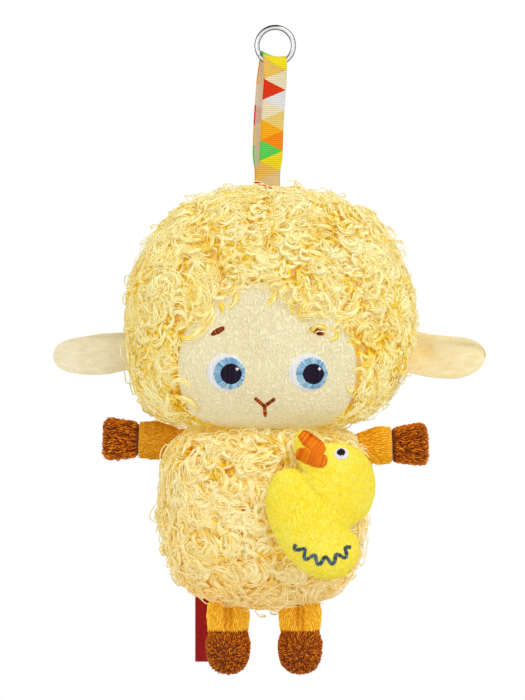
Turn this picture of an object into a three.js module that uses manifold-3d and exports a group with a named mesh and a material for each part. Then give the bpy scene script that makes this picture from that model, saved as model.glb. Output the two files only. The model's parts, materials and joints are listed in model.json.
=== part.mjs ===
// A plush sheep that hangs by a ribbon loop from a metal ring, in millimetres.
// +Z is up and the sheep faces -Y. The origin is the inside top of the ring, where a hook carries it.
// Left and right are as seen from the front, so left is -X.

import * as THREE from "three";
import { mergeVertices } from "three/addons/utils/BufferGeometryUtils.js";
import Module from "manifold-3d";

const wasm = await Module();
wasm.setup();

// Gaps between neighbours, and how far a cutter runs past what it cuts
const gap = 0.35;
const swingGap = 0.5;
const overrun = 4;

// Ring of round wire
const ringOuterDiameter = 20;
const ringWireDiameter = 2.5;
const ringWireSides = 8;
const ringTurnSteps = 36;

// Ribbon loop: its reach is from the ring's inner bottom to the top of the head
const ribbonWidth = 12;
const ribbonThickness = 0.7;
const ribbonReach = 60.3;
const ribbonStrandSpacing = 7.6;
const ribbonRootSpacing = 1.5;
const ribbonRootDepth = 3.7;
const ribbonRootTail = 1;
const ribbonTurnDegrees = 30;
const ribbonBendDegrees = 40;
const ribbonCrestOffset = -1.1;
const ribbonRootOffset = -1;

// Head, drawn out above and below its widest level
const headWidth = 141;
const headDepth = 101;
const headRise = 59.1;
const headFall = 60;
const headFurDepth = 9;
const headOffset = -2.7;
const headPlanPower = 2.2;
const headRisePower = 2.15;
const headFallPower = 3.1;

// Neck, where flat faces of head and body meet and the filling passes
const neckFlatDepth = 1.8;
const neckHoleRadius = 11;

// Face panel: its height is measured from the head's underside
const faceWidth = 87;
const faceHeight = 73.6;
const faceSink = 2.5;
const faceWall = 1.5;
const faceBackPlane = 17;
const faceOffset = -1.2;

// Embroidery on the face, placed from the head's widest level
const stitchHeight = 0.6;
const eyeSpacing = 38.8;
const eyeDrop = 29.8;
const eyeWhiteRadius = 9;
const eyeIrisRadius = 7.4;
const eyePupilRadius = 4.9;
const eyeGlintRadius = 0.9;
const irisShift = 1.6;
const irisFall = 0.5;
const pupilShift = 0.8;
const glintShift = 2.9;
const glintRise = 2.3;
const browSpacing = 46.8;
const browDrop = 10.4;
const browLength = 7.1;
const browThickness = 2.4;
const browSlopeDegrees = 27;
const noseDrop = 45.8;
const noseHalfWidth = 4.8;
const noseRise = 3.8;
const mouthStemLength = 4.9;
const mouthThreadWidth = 1.4;

// Ears, which reach from the head's middle line to the tip
const earReach = 103.8;
const earRootInset = 5;
const earDrop = 19.4;
const earHeight = 21.6;
const earRootHeight = 18;
const earThickness = 6;
const earEdgeThickness = 1.2;
const earCup = 2.4;
const earDroop = 2.3;
const earRootTail = 1.6;
const earFoldDegrees = 35;

// Body, which hangs from the neck's flat face
const bodyWidth = 101;
const bodyDepth = 76;
const bodyShoulderFall = 32.6;
const bodyRise = 35.6;
const bodyFall = 51.8;
const bodyFurDepth = 8;
const bodyOffset = -2;
const bodyPlanPower = 2.2;
const bodyRisePower = 3.6;
const bodyFallPower = 2.7;

// Arms, from the shoulder's pivot to the end of the cuff
const armLengthLeft = 37.7;
const armLengthRight = 35.6;
const armShoulderDepth = 3.4;
const armDropLeft = 4.9;
const armDropRight = 7.2;
const armRootRadius = 6.1;
const armRadius = 9.1;
const armTaperLength = 13;
const armWristRadius = 8.7;
const armCuffLength = 17.2;
const armCuffRadius = 10.3;
const armSwingDegrees = 30;

// Legs, from the hip's pivot to the sole of the hoof
const legSpacing = 34.5;
const legOffset = -0.6;
const legForward = 2;
const legHipDepth = 6;
const legLength = 37.4;
const legRootRadius = 8.7;
const legRadius = 10.2;
const legTaperLength = 9;
const legAnkleRadius = 9.8;
const legHoofHeight = 20.3;
const legHoofRadius = 10.9;
const legForwardDegrees = 40;
const legBackDegrees = 12;

// Clumps that the curls of the head and the body draw into, about 15 mm apart: crests and valleys take turns
// in columns round the form and in rows up it
const clumpDepth = 2.8;
const headClumpColumns = 36;
const headClumpRows = 18;
const bodyClumpColumns = 28;
const bodyClumpRows = 14;

// Velour wall of the limbs and the duck, and long pile of the cuffs and hooves
const velourWall = 1.3;
const pileDepth = 2.2;

// Duck, sewn on the front of the body and bent round its side
const duckHeight = 70.5;
const duckOffset = 28.6;
const duckDrop = 2.4;
const duckStandoff = 2.5;
const duckFrontBulge = 9;
const duckBackBulge = 4;
const duckSeamHalfThickness = 0.7;
const duckBend = 20;
const duckRoundWidth = 17;
const duckBeakThickness = 0.9;

// Woven label, folded double and sewn in the side seam
const labelWidth = 16;
const labelThickness = 0.9;
const labelLength = 37;
const labelOffset = -26;
const labelSetback = 20;
const labelHingeDepth = 2.2;
const labelRootTail = 1;
const labelBackDegrees = 45;
const labelForwardDegrees = 2;

// Fineness of the faceted skins
const formColumns = 32;
const formRows = 16;
const liningColumns = 18;
const liningRows = 10;
const limbSides = 14;
const fillingSides = 10;
const cutterSides = 14;
const fanSteps = 6;
const faceOutlineCount = 40;

// Places that follow from the sizes
const ringWireRadius = ringWireDiameter / 2;
const ringCentreRadius = ringOuterDiameter / 2 - ringWireRadius;
const ringInnerRadius = ringCentreRadius - ringWireRadius;
const ringCentreZ = -ringInnerRadius;
const headTopZ = ringCentreZ - ringInnerRadius - ribbonReach;
const headCentreZ = headTopZ - headRise;
const neckPlaneZ = headCentreZ - headFall + neckFlatDepth;
const bodyCentreZ = neckPlaneZ - gap - bodyShoulderFall;
const bodyCentreX = headOffset + bodyOffset;
const ribbonRootZ = headTopZ - ribbonRootDepth;

const radians = THREE.MathUtils.degToRad;
const smooth = (x) => THREE.MathUtils.smoothstep(x, 0, 1);
const signedPower = (value, power) => Math.sign(value) * Math.abs(value) ** (2 / power);

// Materials
const fabric = (color) => new THREE.MeshStandardMaterial({ color, roughness: 0.95, metalness: 0 });
const thread = (color) => new THREE.MeshStandardMaterial({ color, roughness: 0.6, metalness: 0 });
const nickel = new THREE.MeshStandardMaterial({ color: "#c9c9cc", roughness: 0.2, metalness: 1 });
const curlyFur = fabric("#f1d680");
const creamVelour = fabric("#ebe1b7");
const polyesterFibre = fabric("#f5f5f0");
const ochreVelour = fabric("#e6aa39");
const brownPile = fabric("#96480b");
const yellowVelour = fabric("#fae54f");
const wovenRed = fabric("#8c0f12");
const ribbonPrint = fabric("#f2a63a");
const whiteThread = thread("#e8e7e7");
const blueThread = thread("#96c0dc");
const darkThread = thread("#190b26");
const brownThread = thread("#a75919");
const orangeThread = thread("#f1890d");
const greyThread = thread("#5b7488");

// Joins rings of points into one closed skin that faces out. Rings of one point are the ends of a round
// form; otherwise each end ring is closed by pairing its first half with its second half.
function skin(rings) {
  const points = rings.flat();
  const starts = [];
  let start = 0;
  for (const ring of rings) {
    starts.push(start);
    start += ring.length;
  }
  const faces = [];
  const quad = (a, b, c, d) => faces.push(a, b, c, a, c, d);
  for (let r = 0; r + 1 < rings.length; r++) {
    const low = rings[r].length;
    const high = rings[r + 1].length;
    const count = Math.max(low, high);
    for (let i = 0; i < count; i++) {
      const j = (i + 1) % count;
      if (low === 1) {
        faces.push(starts[r], starts[r + 1] + j, starts[r + 1] + i);
      } else if (high === 1) {
        faces.push(starts[r] + i, starts[r] + j, starts[r + 1]);
      } else {
        quad(starts[r] + i, starts[r] + j, starts[r + 1] + j, starts[r + 1] + i);
      }
    }
  }
  const closeEnd = (first, count, flip) => {
    for (let i = 0; i + 1 < count / 2; i++) {
      const a = first + i;
      const b = first + i + 1;
      const c = first + count - 2 - i;
      const d = first + count - 1 - i;
      if (flip) {
        quad(d, c, b, a);
      } else {
        quad(a, b, c, d);
      }
    }
  };
  if (rings[0].length > 1) {
    closeEnd(0, rings[0].length, true);
  }
  if (rings.at(-1).length > 1) {
    closeEnd(starts.at(-1), rings.at(-1).length, false);
  }
  const geometry = new THREE.BufferGeometry().setFromPoints(points);
  geometry.setIndex(faces);
  return facingOut(geometry);
}

// Turns a closed geometry's faces round if they point in.
function facingOut(geometry) {
  const places = geometry.attributes.position;
  const index = geometry.index.array;
  const [a, b, c] = [new THREE.Vector3(), new THREE.Vector3(), new THREE.Vector3()];
  let volume = 0;
  for (let i = 0; i < index.length; i += 3) {
    a.fromBufferAttribute(places, index[i]);
    b.fromBufferAttribute(places, index[i + 1]);
    c.fromBufferAttribute(places, index[i + 2]);
    volume += a.dot(b.cross(c));
  }
  if (volume < 0) {
    for (let i = 0; i < index.length; i += 3) {
      [index[i], index[i + 1]] = [index[i + 1], index[i]];
    }
  }
  geometry.computeVertexNormals();
  return geometry;
}

// A geometry as a solid that can be cut and joined.
function solidOf(geometry) {
  const plain = geometry.clone();
  plain.deleteAttribute("normal");
  plain.deleteAttribute("uv");
  const merged = facingOut(mergeVertices(plain));
  const index = merged.index.array;
  const kept = [];
  for (let i = 0; i < index.length; i += 3) {
    const [a, b, c] = index.slice(i, i + 3);
    if (a !== b && b !== c && c !== a) {
      kept.push(a, b, c);
    }
  }
  const vertProperties = new Float32Array(merged.attributes.position.array);
  return new wasm.Manifold(new wasm.Mesh({ numProp: 3, vertProperties, triVerts: new Uint32Array(kept) }));
}

function geometryOf(solid) {
  const { vertProperties, triVerts } = solid.getMesh();
  const geometry = new THREE.BufferGeometry();
  geometry.setAttribute("position", new THREE.BufferAttribute(new Float32Array(vertProperties), 3));
  geometry.setIndex(new THREE.BufferAttribute(new Uint32Array(triVerts), 1));
  geometry.computeVertexNormals();
  return geometry;
}

const cut = (solid, ...cutters) => cutters.reduce((left, cutter) => left.subtract(cutter), solid);
const joined = (...solids) => solids.reduce((all, solid) => all.add(solid));

// A group's pieces are named meshes.
function addPiece(group, name, shape, material) {
  const mesh = new THREE.Mesh(shape.isBufferGeometry ? shape : geometryOf(shape), material);
  mesh.name = name;
  group.add(mesh);
}

// Matrix that sends x, y and z of a drawn shape along three directions, and its origin to a place.
function along(x, y, z, place = new THREE.Vector3()) {
  return new THREE.Matrix4().makeBasis(x, y, z).setPosition(place);
}

const axisX = new THREE.Vector3(1, 0, 0);
const axisY = new THREE.Vector3(0, 1, 0);
const axisZ = new THREE.Vector3(0, 0, 1);

// A stuffed form that swells to its widest level, with its own roundness above, below and in plan. Every
// second point may lie in a valley, and the valleys run out towards the top and the underside.
function stuffedForm(form, grow, columns, rows, valleyDepth = 0) {
  const rings = [[new THREE.Vector3(0, 0, -form.fall - grow)]];
  for (let row = 1; row < rows; row++) {
    const level = radians(-90 + (180 * row) / rows);
    const above = level > 0;
    const power = above ? form.risePower : form.fallPower;
    const spread = signedPower(Math.cos(level), power);
    const valley = valleyDepth * Math.min(1, 2 * Math.cos(level));
    const ring = [];
    for (let column = 0; column < columns; column++) {
      const angle = (2 * Math.PI * column) / columns;
      const out = grow - valley * ((row + column) % 2);
      const x = signedPower(Math.cos(angle), form.planPower) * (form.width / 2 + out) * spread;
      const y = signedPower(Math.sin(angle), form.planPower) * (form.depth / 2 + out) * spread;
      const z = signedPower(Math.sin(level), power) * ((above ? form.rise : form.fall) + out);
      ring.push(new THREE.Vector3(x, y, z));
    }
    rings.push(ring);
  }
  rings.push([new THREE.Vector3(0, 0, form.rise + grow)]);
  return solidOf(skin(rings));
}

// The curly outside of a fur cover, whose crests reach the stuffed form
const curlySkin = (form, grow) =>
  stuffedForm(form, grow, form.clumpColumns, form.clumpRows, clumpDepth);

// How far a stuffed form reaches sideways at a height above its widest level.
function halfWidthAt(form, z) {
  const above = z > 0;
  const power = above ? form.risePower : form.fallPower;
  const share = Math.abs(z) / (above ? form.rise : form.fall);
  return (form.width / 2) * (1 - share ** power) ** (1 / power);
}

// How far a stuffed form's underside lies below its widest level, at a place in plan.
function fallAt(form, x, y) {
  const plan =
    Math.abs((2 * x) / form.width) ** form.planPower + Math.abs((2 * y) / form.depth) ** form.planPower;
  return form.fall * (1 - plan ** (form.fallPower / form.planPower)) ** (1 / form.fallPower);
}

// A prism of an outline drawn in x and z, between two depths along y.
function prismY(outline, front, back) {
  const shape = new THREE.Shape(outline);
  const prism = new THREE.ExtrudeGeometry(shape, { depth: back - front, bevelEnabled: false });
  prism.applyMatrix4(along(axisX, axisZ, axisY.clone().negate(), new THREE.Vector3(0, back, 0)));
  return solidOf(prism);
}

// A smooth closed outline through points.
function smoothOutline(points, count) {
  const flat = points.map(([x, y]) => new THREE.Vector3(x, y, 0));
  const curve = new THREE.CatmullRomCurve3(flat, true, "centripetal");
  return curve
    .getSpacedPoints(count)
    .slice(0, -1)
    .map((point) => new THREE.Vector2(point.x, point.y));
}

// An ellipse's outline, turned about its centre.
function ovalOutline(centreX, centreZ, halfLength, halfWidth, degrees, count) {
  const turn = radians(degrees);
  return new THREE.EllipseCurve(centreX, centreZ, halfLength, halfWidth, 0, 2 * Math.PI, false, turn)
    .getPoints(count)
    .slice(0, -1);
}

// A fan: what a flat flap sweeps as it turns about its root between two angles from the fan's own y axis.
function fanSolid(rootRadius, halfThickness, reach, lowDegrees, highDegrees, height, matrix) {
  const side = Math.max(rootRadius, halfThickness);
  const outline = [];
  const edge = (degrees, sign, distance) => {
    const [sine, cosine] = [Math.sin(radians(degrees)), Math.cos(radians(degrees))];
    const x = sine * distance + sign * cosine * side;
    outline.push(new THREE.Vector2(x, cosine * distance - sign * sine * side));
  };
  edge(highDegrees, 1, 0);
  edge(highDegrees, 1, reach);
  for (let step = 0; step <= fanSteps; step++) {
    const turn = radians(highDegrees + ((lowDegrees - highDegrees) * step) / fanSteps);
    const far = Math.hypot(reach, side) + swingGap;
    outline.push(new THREE.Vector2(Math.sin(turn) * far, Math.cos(turn) * far));
  }
  edge(lowDegrees, -1, reach);
  edge(lowDegrees, -1, 0);
  const rootTurn = Math.PI - radians(highDegrees - lowDegrees);
  for (let step = 1; step < fanSteps; step++) {
    const turn = radians(lowDegrees) - Math.PI / 2 - (rootTurn * step) / fanSteps;
    outline.push(new THREE.Vector2(Math.sin(turn) * side, Math.cos(turn) * side));
  }
  const fan = new THREE.ExtrudeGeometry(new THREE.Shape(outline), { depth: height, bevelEnabled: false });
  fan.translate(0, 0, -height / 2);
  fan.applyMatrix4(matrix);
  return solidOf(fan);
}

// Ring
const sheep = new THREE.Group();
const ring = new THREE.TorusGeometry(ringCentreRadius, ringWireRadius, ringWireSides, ringTurnSteps);
ring.rotateX(Math.PI / 2);
ring.translate(0, 0, ringCentreZ);
addPiece(sheep, "hanging_ring", ring, nickel);

// Ribbon loop: up the front, over the ring's wire and down the back. It turns about its length between
// the head's seam and the ring, and at the ring it cups round the inside of the wire.
const ribbonCupRadius = ringInnerRadius - gap - ribbonThickness / 2;
const ribbonCrestZ = ringCentreZ - ribbonCupRadius;
const ribbonFoldRadius = ribbonStrandSpacing / 2;
const ribbonHeight = ribbonCrestZ - ribbonFoldRadius - ribbonRootZ;
const ribbonRootX = headOffset + ribbonRootOffset;
const ribbonSlotReach = ribbonRootDepth + overrun;
const ribbonSpreadShare = 0.2;
const ribbonTurnShare = 0.36;
const ribbonSettleShare = 0.8;
const ribbonCupShare = 0.86;
const ribbonStrandSteps = 13;
const ribbonFoldSteps = 8;
const ribbonAcrossSteps = 3;

// A point of the ribbon's middle surface: height above the root, side -1 in front and 1 behind, place across.
function ribbonPoint(height, spread, across) {
  const share = Math.max(0, height / ribbonHeight);
  const turnIn = smooth(share / ribbonTurnShare);
  const turnOut = 1 - smooth((share - ribbonSettleShare) / (1 - ribbonSettleShare));
  const turn = radians(ribbonTurnDegrees) * turnIn * turnOut;
  const cup = smooth((share - ribbonCupShare) / (1 - ribbonCupShare));
  const crestShare = Math.min(1, share);
  const middleX = ribbonRootX + (ribbonCrestOffset - ribbonRootX) * crestShare;
  const cupTurn = (across + ribbonCrestOffset) / ribbonCupRadius;
  const cupX = ribbonCupRadius * Math.sin(cupTurn) - ribbonCrestOffset;
  const flatX = across + (cupX - across) * cup;
  const x = middleX + flatX * Math.cos(turn) - spread * Math.sin(turn);
  const y = flatX * Math.sin(turn) + spread * Math.cos(turn);
  const lift = ribbonCupRadius * (1 - Math.cos(cupTurn)) * cup;
  return new THREE.Vector3(x, y, ribbonRootZ + height + lift);
}

function ribbonStations() {
  const stations = [];
  const strand = (height) => {
    const open = smooth((height - ribbonSlotReach) / (ribbonHeight * ribbonSpreadShare));
    return (ribbonRootSpacing + (ribbonStrandSpacing - ribbonRootSpacing) * open) / 2;
  };
  for (let step = 0; step <= ribbonStrandSteps; step++) {
    const height = -ribbonRootTail + ((ribbonHeight + ribbonRootTail) * step) / ribbonStrandSteps;
    stations.push([height, -strand(height)]);
  }
  for (let step = 1; step < ribbonFoldSteps; step++) {
    const turn = (Math.PI * step) / ribbonFoldSteps;
    const height = ribbonHeight + ribbonFoldRadius * Math.sin(turn);
    stations.push([height, -ribbonFoldRadius * Math.cos(turn)]);
  }
  for (let step = ribbonStrandSteps; step >= 0; step--) {
    const height = -ribbonRootTail + ((ribbonHeight + ribbonRootTail) * step) / ribbonStrandSteps;
    stations.push([height, strand(height)]);
  }
  return stations;
}

function ribbonLoop() {
  const stations = ribbonStations();
  const middles = stations.map(([height, spread]) => {
    const row = [];
    for (let step = 0; step <= ribbonAcrossSteps; step++) {
      row.push(ribbonPoint(height, spread, ribbonWidth * (step / ribbonAcrossSteps - 0.5)));
    }
    return row;
  });
  const rings = middles.map((row, i) => {
    const before = middles[Math.max(0, i - 1)];
    const after = middles[Math.min(middles.length - 1, i + 1)];
    const faces = [[], []];
    row.forEach((point, j) => {
      const alongLoop = after[j].clone().sub(before[j]);
      const acrossLoop = row[Math.min(j + 1, row.length - 1)].clone().sub(row[Math.max(0, j - 1)]);
      const normal = alongLoop.cross(acrossLoop).setLength(ribbonThickness / 2);
      faces[0].push(point.clone().add(normal));
      faces[1].unshift(point.clone().sub(normal));
    });
    return faces.flat();
  });
  return skin(rings);
}
addPiece(sheep, "ribbon_loop", ribbonLoop(), ribbonPrint);

// Head
const head = new THREE.Group();
head.position.set(headOffset, 0, headCentreZ);
sheep.add(head);
const headForm = {
  width: headWidth,
  depth: headDepth,
  rise: headRise,
  fall: headFall,
  planPower: headPlanPower,
  risePower: headRisePower,
  fallPower: headFallPower,
  clumpColumns: headClumpColumns,
  clumpRows: headClumpRows,
};
const headSkin = (grow, fine) =>
  stuffedForm(headForm, grow, fine ? formColumns : liningColumns, fine ? formRows : liningRows);

// The face's outline: half-widths up from the chin, with the widest a little below the middle
const faceOutlineShares = [
  [0.45, 0],
  [0.76, 0.08],
  [0.92, 0.2],
  [1, 0.4],
  [0.95, 0.62],
  [0.8, 0.78],
  [0.52, 0.92],
];
function faceOutline(grow) {
  const chinZ = -headFall;
  const place = ([xShare, zShare]) => [
    (faceWidth / 2) * xShare,
    chinZ + faceHeight * zShare,
  ];
  const right = faceOutlineShares.map(place);
  const left = right.map(([x, z]) => [-x, z]).reverse();
  const middleZ = chinZ + faceHeight / 2;
  const growShare = 1 + (2 * grow) / faceHeight;
  return smoothOutline([...right, [0, chinZ + faceHeight], ...left], faceOutlineCount).map(
    (point) =>
      new THREE.Vector2(faceOffset + point.x * growShare, middleZ + (point.y - middleZ) * growShare),
  );
}
const facePrism = (grow) => prismY(faceOutline(grow), -headDepth, -faceBackPlane);

// Flat neck: what lies below the neck's plane is cut away from the head
const belowNeckHeight = headFurDepth;
function neckBlock(top, width) {
  const block = new THREE.BoxGeometry(width, width, belowNeckHeight);
  block.translate(0, 0, top - belowNeckHeight / 2);
  return solidOf(block);
}
function neckColumn(radius, low, high) {
  const column = new THREE.CylinderGeometry(radius, radius, high - low, cutterSides);
  column.rotateX(Math.PI / 2);
  column.translate(0, 0, (low + high) / 2);
  return solidOf(column);
}

// Slots in the fur for the ribbon and the ears
const ribbonSlot = fanSolid(
  Math.hypot(ribbonRootTail, (ribbonRootSpacing + ribbonThickness) / 2) + gap,
  (ribbonRootSpacing + ribbonThickness) / 2 + swingGap,
  ribbonSlotReach,
  -ribbonBendDegrees,
  ribbonBendDegrees,
  ribbonWidth + 2 * gap,
  along(axisY, axisZ, axisX, new THREE.Vector3(ribbonRootOffset, 0, headRise - ribbonRootDepth)),
);
const earPivot = headWidth / 2 - earRootInset;
const earSlots = [-1, 1].map((side) =>
  fanSolid(
    Math.hypot(earRootTail, earThickness / 2) + gap,
    earThickness / 2 + swingGap,
    earRootInset + overrun,
    -earFoldDegrees,
    earFoldDegrees,
    earHeight + 2 * swingGap,
    along(
      axisY,
      axisX.clone().multiplyScalar(side),
      axisZ.clone().multiplyScalar(-side),
      new THREE.Vector3(side * earPivot, 0, -earDrop),
    ),
  ),
);
const headNeckZ = neckPlaneZ - headCentreZ;
addPiece(
  head,
  "head_fur_cover",
  cut(
    curlySkin(headForm, 0),
    headSkin(-headFurDepth, false),
    facePrism(0),
    neckBlock(headNeckZ, headWidth),
    neckColumn(neckHoleRadius, headNeckZ - overrun, headNeckZ + headFurDepth + overrun),
    ribbonSlot,
    ...earSlots,
  ),
  curlyFur,
);
addPiece(
  head,
  "face_panel",
  cut(
    headSkin(-faceSink, true).intersect(facePrism(-gap)),
    headSkin(-faceSink - faceWall, true),
    neckBlock(headNeckZ, headWidth),
  ),
  creamVelour,
);
const fillingInset = headFurDepth + gap;
const faceFillingInset = faceSink + faceWall + 2 * gap;
addPiece(
  head,
  "head_filling",
  cut(
    joined(
      headSkin(-fillingInset, false),
      headSkin(-faceFillingInset, false).intersect(facePrism(-2 * gap)),
      neckColumn(neckHoleRadius - gap, headNeckZ, 0),
    ),
    ribbonSlot,
    ...earSlots,
  ),
  polyesterFibre,
);

// A stitched patch: a thin layer that follows the face inside an outline
function facePatch(outline, ...holes) {
  const low = gap - faceSink;
  const layer = headSkin(low + stitchHeight, true).intersect(
    prismY(outline, -headDepth, -faceBackPlane),
  );
  const cutters = holes.map((hole) => prismY(hole, -headDepth, -faceBackPlane));
  return cut(layer, headSkin(low, true), ...cutters);
}
const eyeSides = 20;
const patchGap = gap / 2;
for (const [side, word] of [
  [-1, "left"],
  [1, "right"],
]) {
  const eyeX = faceOffset + (side * eyeSpacing) / 2;
  const eyeZ = -eyeDrop;
  const irisX = eyeX + irisShift;
  const irisZ = eyeZ - irisFall;
  const pupilX = irisX + pupilShift;
  const disc = (x, z, radius, sides) => ovalOutline(x, z, radius, radius, 0, sides);
  const iris = (grow) => disc(irisX, irisZ, eyeIrisRadius + grow, eyeSides);
  const pupil = (grow) => disc(pupilX, irisZ, eyePupilRadius + grow, eyeSides / 2);
  const glint = (grow) => disc(pupilX + glintShift, irisZ + glintRise, eyeGlintRadius + grow, eyeSides / 3);
  const white = disc(eyeX, eyeZ, eyeWhiteRadius, eyeSides);
  addPiece(head, `eye_${word}_white`, facePatch(white, iris(patchGap)), whiteThread);
  addPiece(head, `eye_${word}_iris`, facePatch(iris(-patchGap), pupil(patchGap)), blueThread);
  addPiece(head, `eye_${word}_pupil`, facePatch(pupil(-patchGap), glint(patchGap)), darkThread);
  addPiece(head, `eye_${word}_glint`, facePatch(glint(-patchGap)), whiteThread);
  const browX = faceOffset + (side * browSpacing) / 2;
  const browSlope = -side * browSlopeDegrees;
  const brow = ovalOutline(browX, -browDrop, browLength / 2, browThickness / 2, browSlope, eyeSides / 2);
  addPiece(head, `eyebrow_${word}`, facePatch(brow), brownThread);
}

// Nose and mouth: one Y of thread, as three bars that meet
function barOutline(fromX, fromZ, toX, toZ, width) {
  const length = Math.hypot(toX - fromX, toZ - fromZ);
  const [sideX, sideZ] = [(-(toZ - fromZ) * width) / length / 2, ((toX - fromX) * width) / length / 2];
  return [
    new THREE.Vector2(fromX + sideX, fromZ + sideZ),
    new THREE.Vector2(fromX - sideX, fromZ - sideZ),
    new THREE.Vector2(toX - sideX, toZ - sideZ),
    new THREE.Vector2(toX + sideX, toZ + sideZ),
  ];
}
const mouthBars = [
  [-noseHalfWidth, noseRise],
  [noseHalfWidth, noseRise],
  [0, -mouthStemLength],
].map(([x, z]) =>
  facePatch(barOutline(faceOffset, -noseDrop, faceOffset + x, z - noseDrop, mouthThreadWidth)),
);
const mouthKnot = facePatch(
  ovalOutline(faceOffset, -noseDrop, mouthThreadWidth / 2, mouthThreadWidth / 2, 0, eyeSides / 3),
);
addPiece(head, "nose_mouth_stitch", joined(mouthKnot, ...mouthBars), brownThread);

// Ears: two velour panels sewn along their edge, lightly cupped, with a root in the fur's slot
const earLength = earReach - earPivot;
const earWidestShare = 0.42;
const earTipPower = 2.3;
const earTipEndShare = 0.985;
const earStations = 9;
const earAcrossSteps = 4;
function earPanel(side, front) {
  const face = front ? -1 : 1;
  const rings = [];
  for (let station = 0; station <= earStations; station++) {
    const distance = -earRootTail + ((earLength + earRootTail) * station) / earStations;
    const share = Math.max(0, distance / earLength);
    const tip = Math.max(0, (share - earWidestShare) / (1 - earWidestShare));
    const tipRound = (1 - Math.min(tip, earTipEndShare) ** earTipPower) ** (1 / earTipPower);
    const rootGrow = smooth(share / earWidestShare);
    const height = (earRootHeight + (earHeight - earRootHeight) * rootGrow) * tipRound;
    const middleZ = -earDroop * Math.sin((Math.PI * Math.min(share, 1)) / 2) - earDrop;
    const cup = earCup * smooth(share / earWidestShare) * tipRound;
    const [outer, inner] = [[], []];
    for (let step = 0; step <= earAcrossSteps; step++) {
      const v = (2 * step) / earAcrossSteps - 1;
      const crown = Math.sqrt(1 - v * v) * tipRound;
      const half = (earEdgeThickness + (earThickness - earEdgeThickness) * crown) / 2;
      const cupY = -cup * v * v;
      const [x, z] = [side * (earPivot + distance), middleZ + (v * height) / 2];
      outer.push(new THREE.Vector3(x, cupY + face * half, z));
      inner.unshift(new THREE.Vector3(x, cupY + (face * gap) / 2, z));
    }
    rings.push([...outer, ...inner]);
  }
  return skin(rings);
}
for (const [side, word] of [
  [-1, "left"],
  [1, "right"],
]) {
  addPiece(head, `ear_${word}_front`, earPanel(side, true), creamVelour);
  addPiece(head, `ear_${word}_back`, earPanel(side, false), creamVelour);
}

// Body
const body = new THREE.Group();
body.position.set(bodyCentreX, 0, bodyCentreZ);
sheep.add(body);
const bodyForm = {
  width: bodyWidth,
  depth: bodyDepth,
  rise: bodyRise,
  fall: bodyFall,
  planPower: bodyPlanPower,
  risePower: bodyRisePower,
  fallPower: bodyFallPower,
  clumpColumns: bodyClumpColumns,
  clumpRows: bodyClumpRows,
};
const bodyLining = (grow) => stuffedForm(bodyForm, grow, liningColumns, liningRows);

// Limbs: a velour sleeve with a ball root, a long-pile end piece and one filling through both. The
// profile runs from the root's pole outwards, as radius and distance from the pivot.
const profileSteps = 4;
function sleeveRadius(limb, distance) {
  if (distance < 0) {
    return Math.sqrt(Math.max(0, limb.rootRadius ** 2 - distance ** 2));
  }
  const swell = smooth(distance / limb.taperLength);
  const draw = smooth((distance - limb.taperLength) / (limb.seam - limb.taperLength));
  return limb.rootRadius + (limb.radius - limb.rootRadius) * swell - (limb.radius - limb.seamRadius) * draw;
}
function endRadius(limb, distance) {
  const share = (distance - limb.seam) / (limb.length - limb.seam);
  const swell = smooth(share / limb.endSwellShare);
  const round = Math.max(0, (share - limb.endRoundShare) / (1 - limb.endRoundShare));
  const full = limb.seamRadius + (limb.endRadius - limb.seamRadius) * swell;
  return full * Math.max(0, 1 - round ** limb.endPower) ** (1 / limb.endPower);
}
function sleeveProfile(limb, inset, end, steps) {
  const root = limb.rootRadius - inset;
  const points = [new THREE.Vector2(0, -root)];
  for (let step = 1; step < steps; step++) {
    const turn = (Math.PI * step) / (2 * steps);
    points.push(new THREE.Vector2(root * Math.sin(turn), -root * Math.cos(turn)));
  }
  for (let step = 0; step <= steps; step++) {
    const distance = (end * step) / steps;
    points.push(new THREE.Vector2(sleeveRadius(limb, distance) - inset, distance));
  }
  return points;
}
function endProfile(limb, inset, start, steps) {
  const points = [];
  const tip = limb.length - inset;
  for (let step = 0; step < steps; step++) {
    const distance = start + (tip - start) * Math.sin((Math.PI * step) / (2 * steps));
    const outer = limb.seam + ((distance - limb.seam) * (limb.length - limb.seam)) / (tip - limb.seam);
    points.push(new THREE.Vector2(endRadius(limb, outer) - inset, distance));
  }
  points.push(new THREE.Vector2(0, tip));
  return points;
}
function addLimb(group, name, endName, limb) {
  const seamHalf = gap / 2;
  const sleeve = [
    ...sleeveProfile(limb, 0, limb.seam - seamHalf, profileSteps),
    ...sleeveProfile(limb, velourWall, limb.seam - seamHalf, profileSteps - 2).reverse(),
  ];
  const end = [
    ...endProfile(limb, limb.pile, limb.seam + seamHalf, profileSteps).reverse(),
    ...endProfile(limb, 0, limb.seam + seamHalf, profileSteps + 1),
  ];
  const filling = [
    ...sleeveProfile(limb, velourWall + 2 * gap, limb.seam - limb.pile, profileSteps - 2),
    ...endProfile(limb, limb.pile + 2 * gap, limb.seam, profileSteps - 1),
  ];
  const turned = (points, sides) => new THREE.LatheGeometry(points, sides).applyMatrix4(limb.matrix);
  addPiece(group, `${name}_sleeve`, solidOf(turned(sleeve, limbSides)), ochreVelour);
  addPiece(group, `${name}_${endName}`, solidOf(turned(end, limbSides)), brownPile);
  addPiece(group, `${name}_filling`, solidOf(turned(filling, fillingSides)), polyesterFibre);
}

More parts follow.
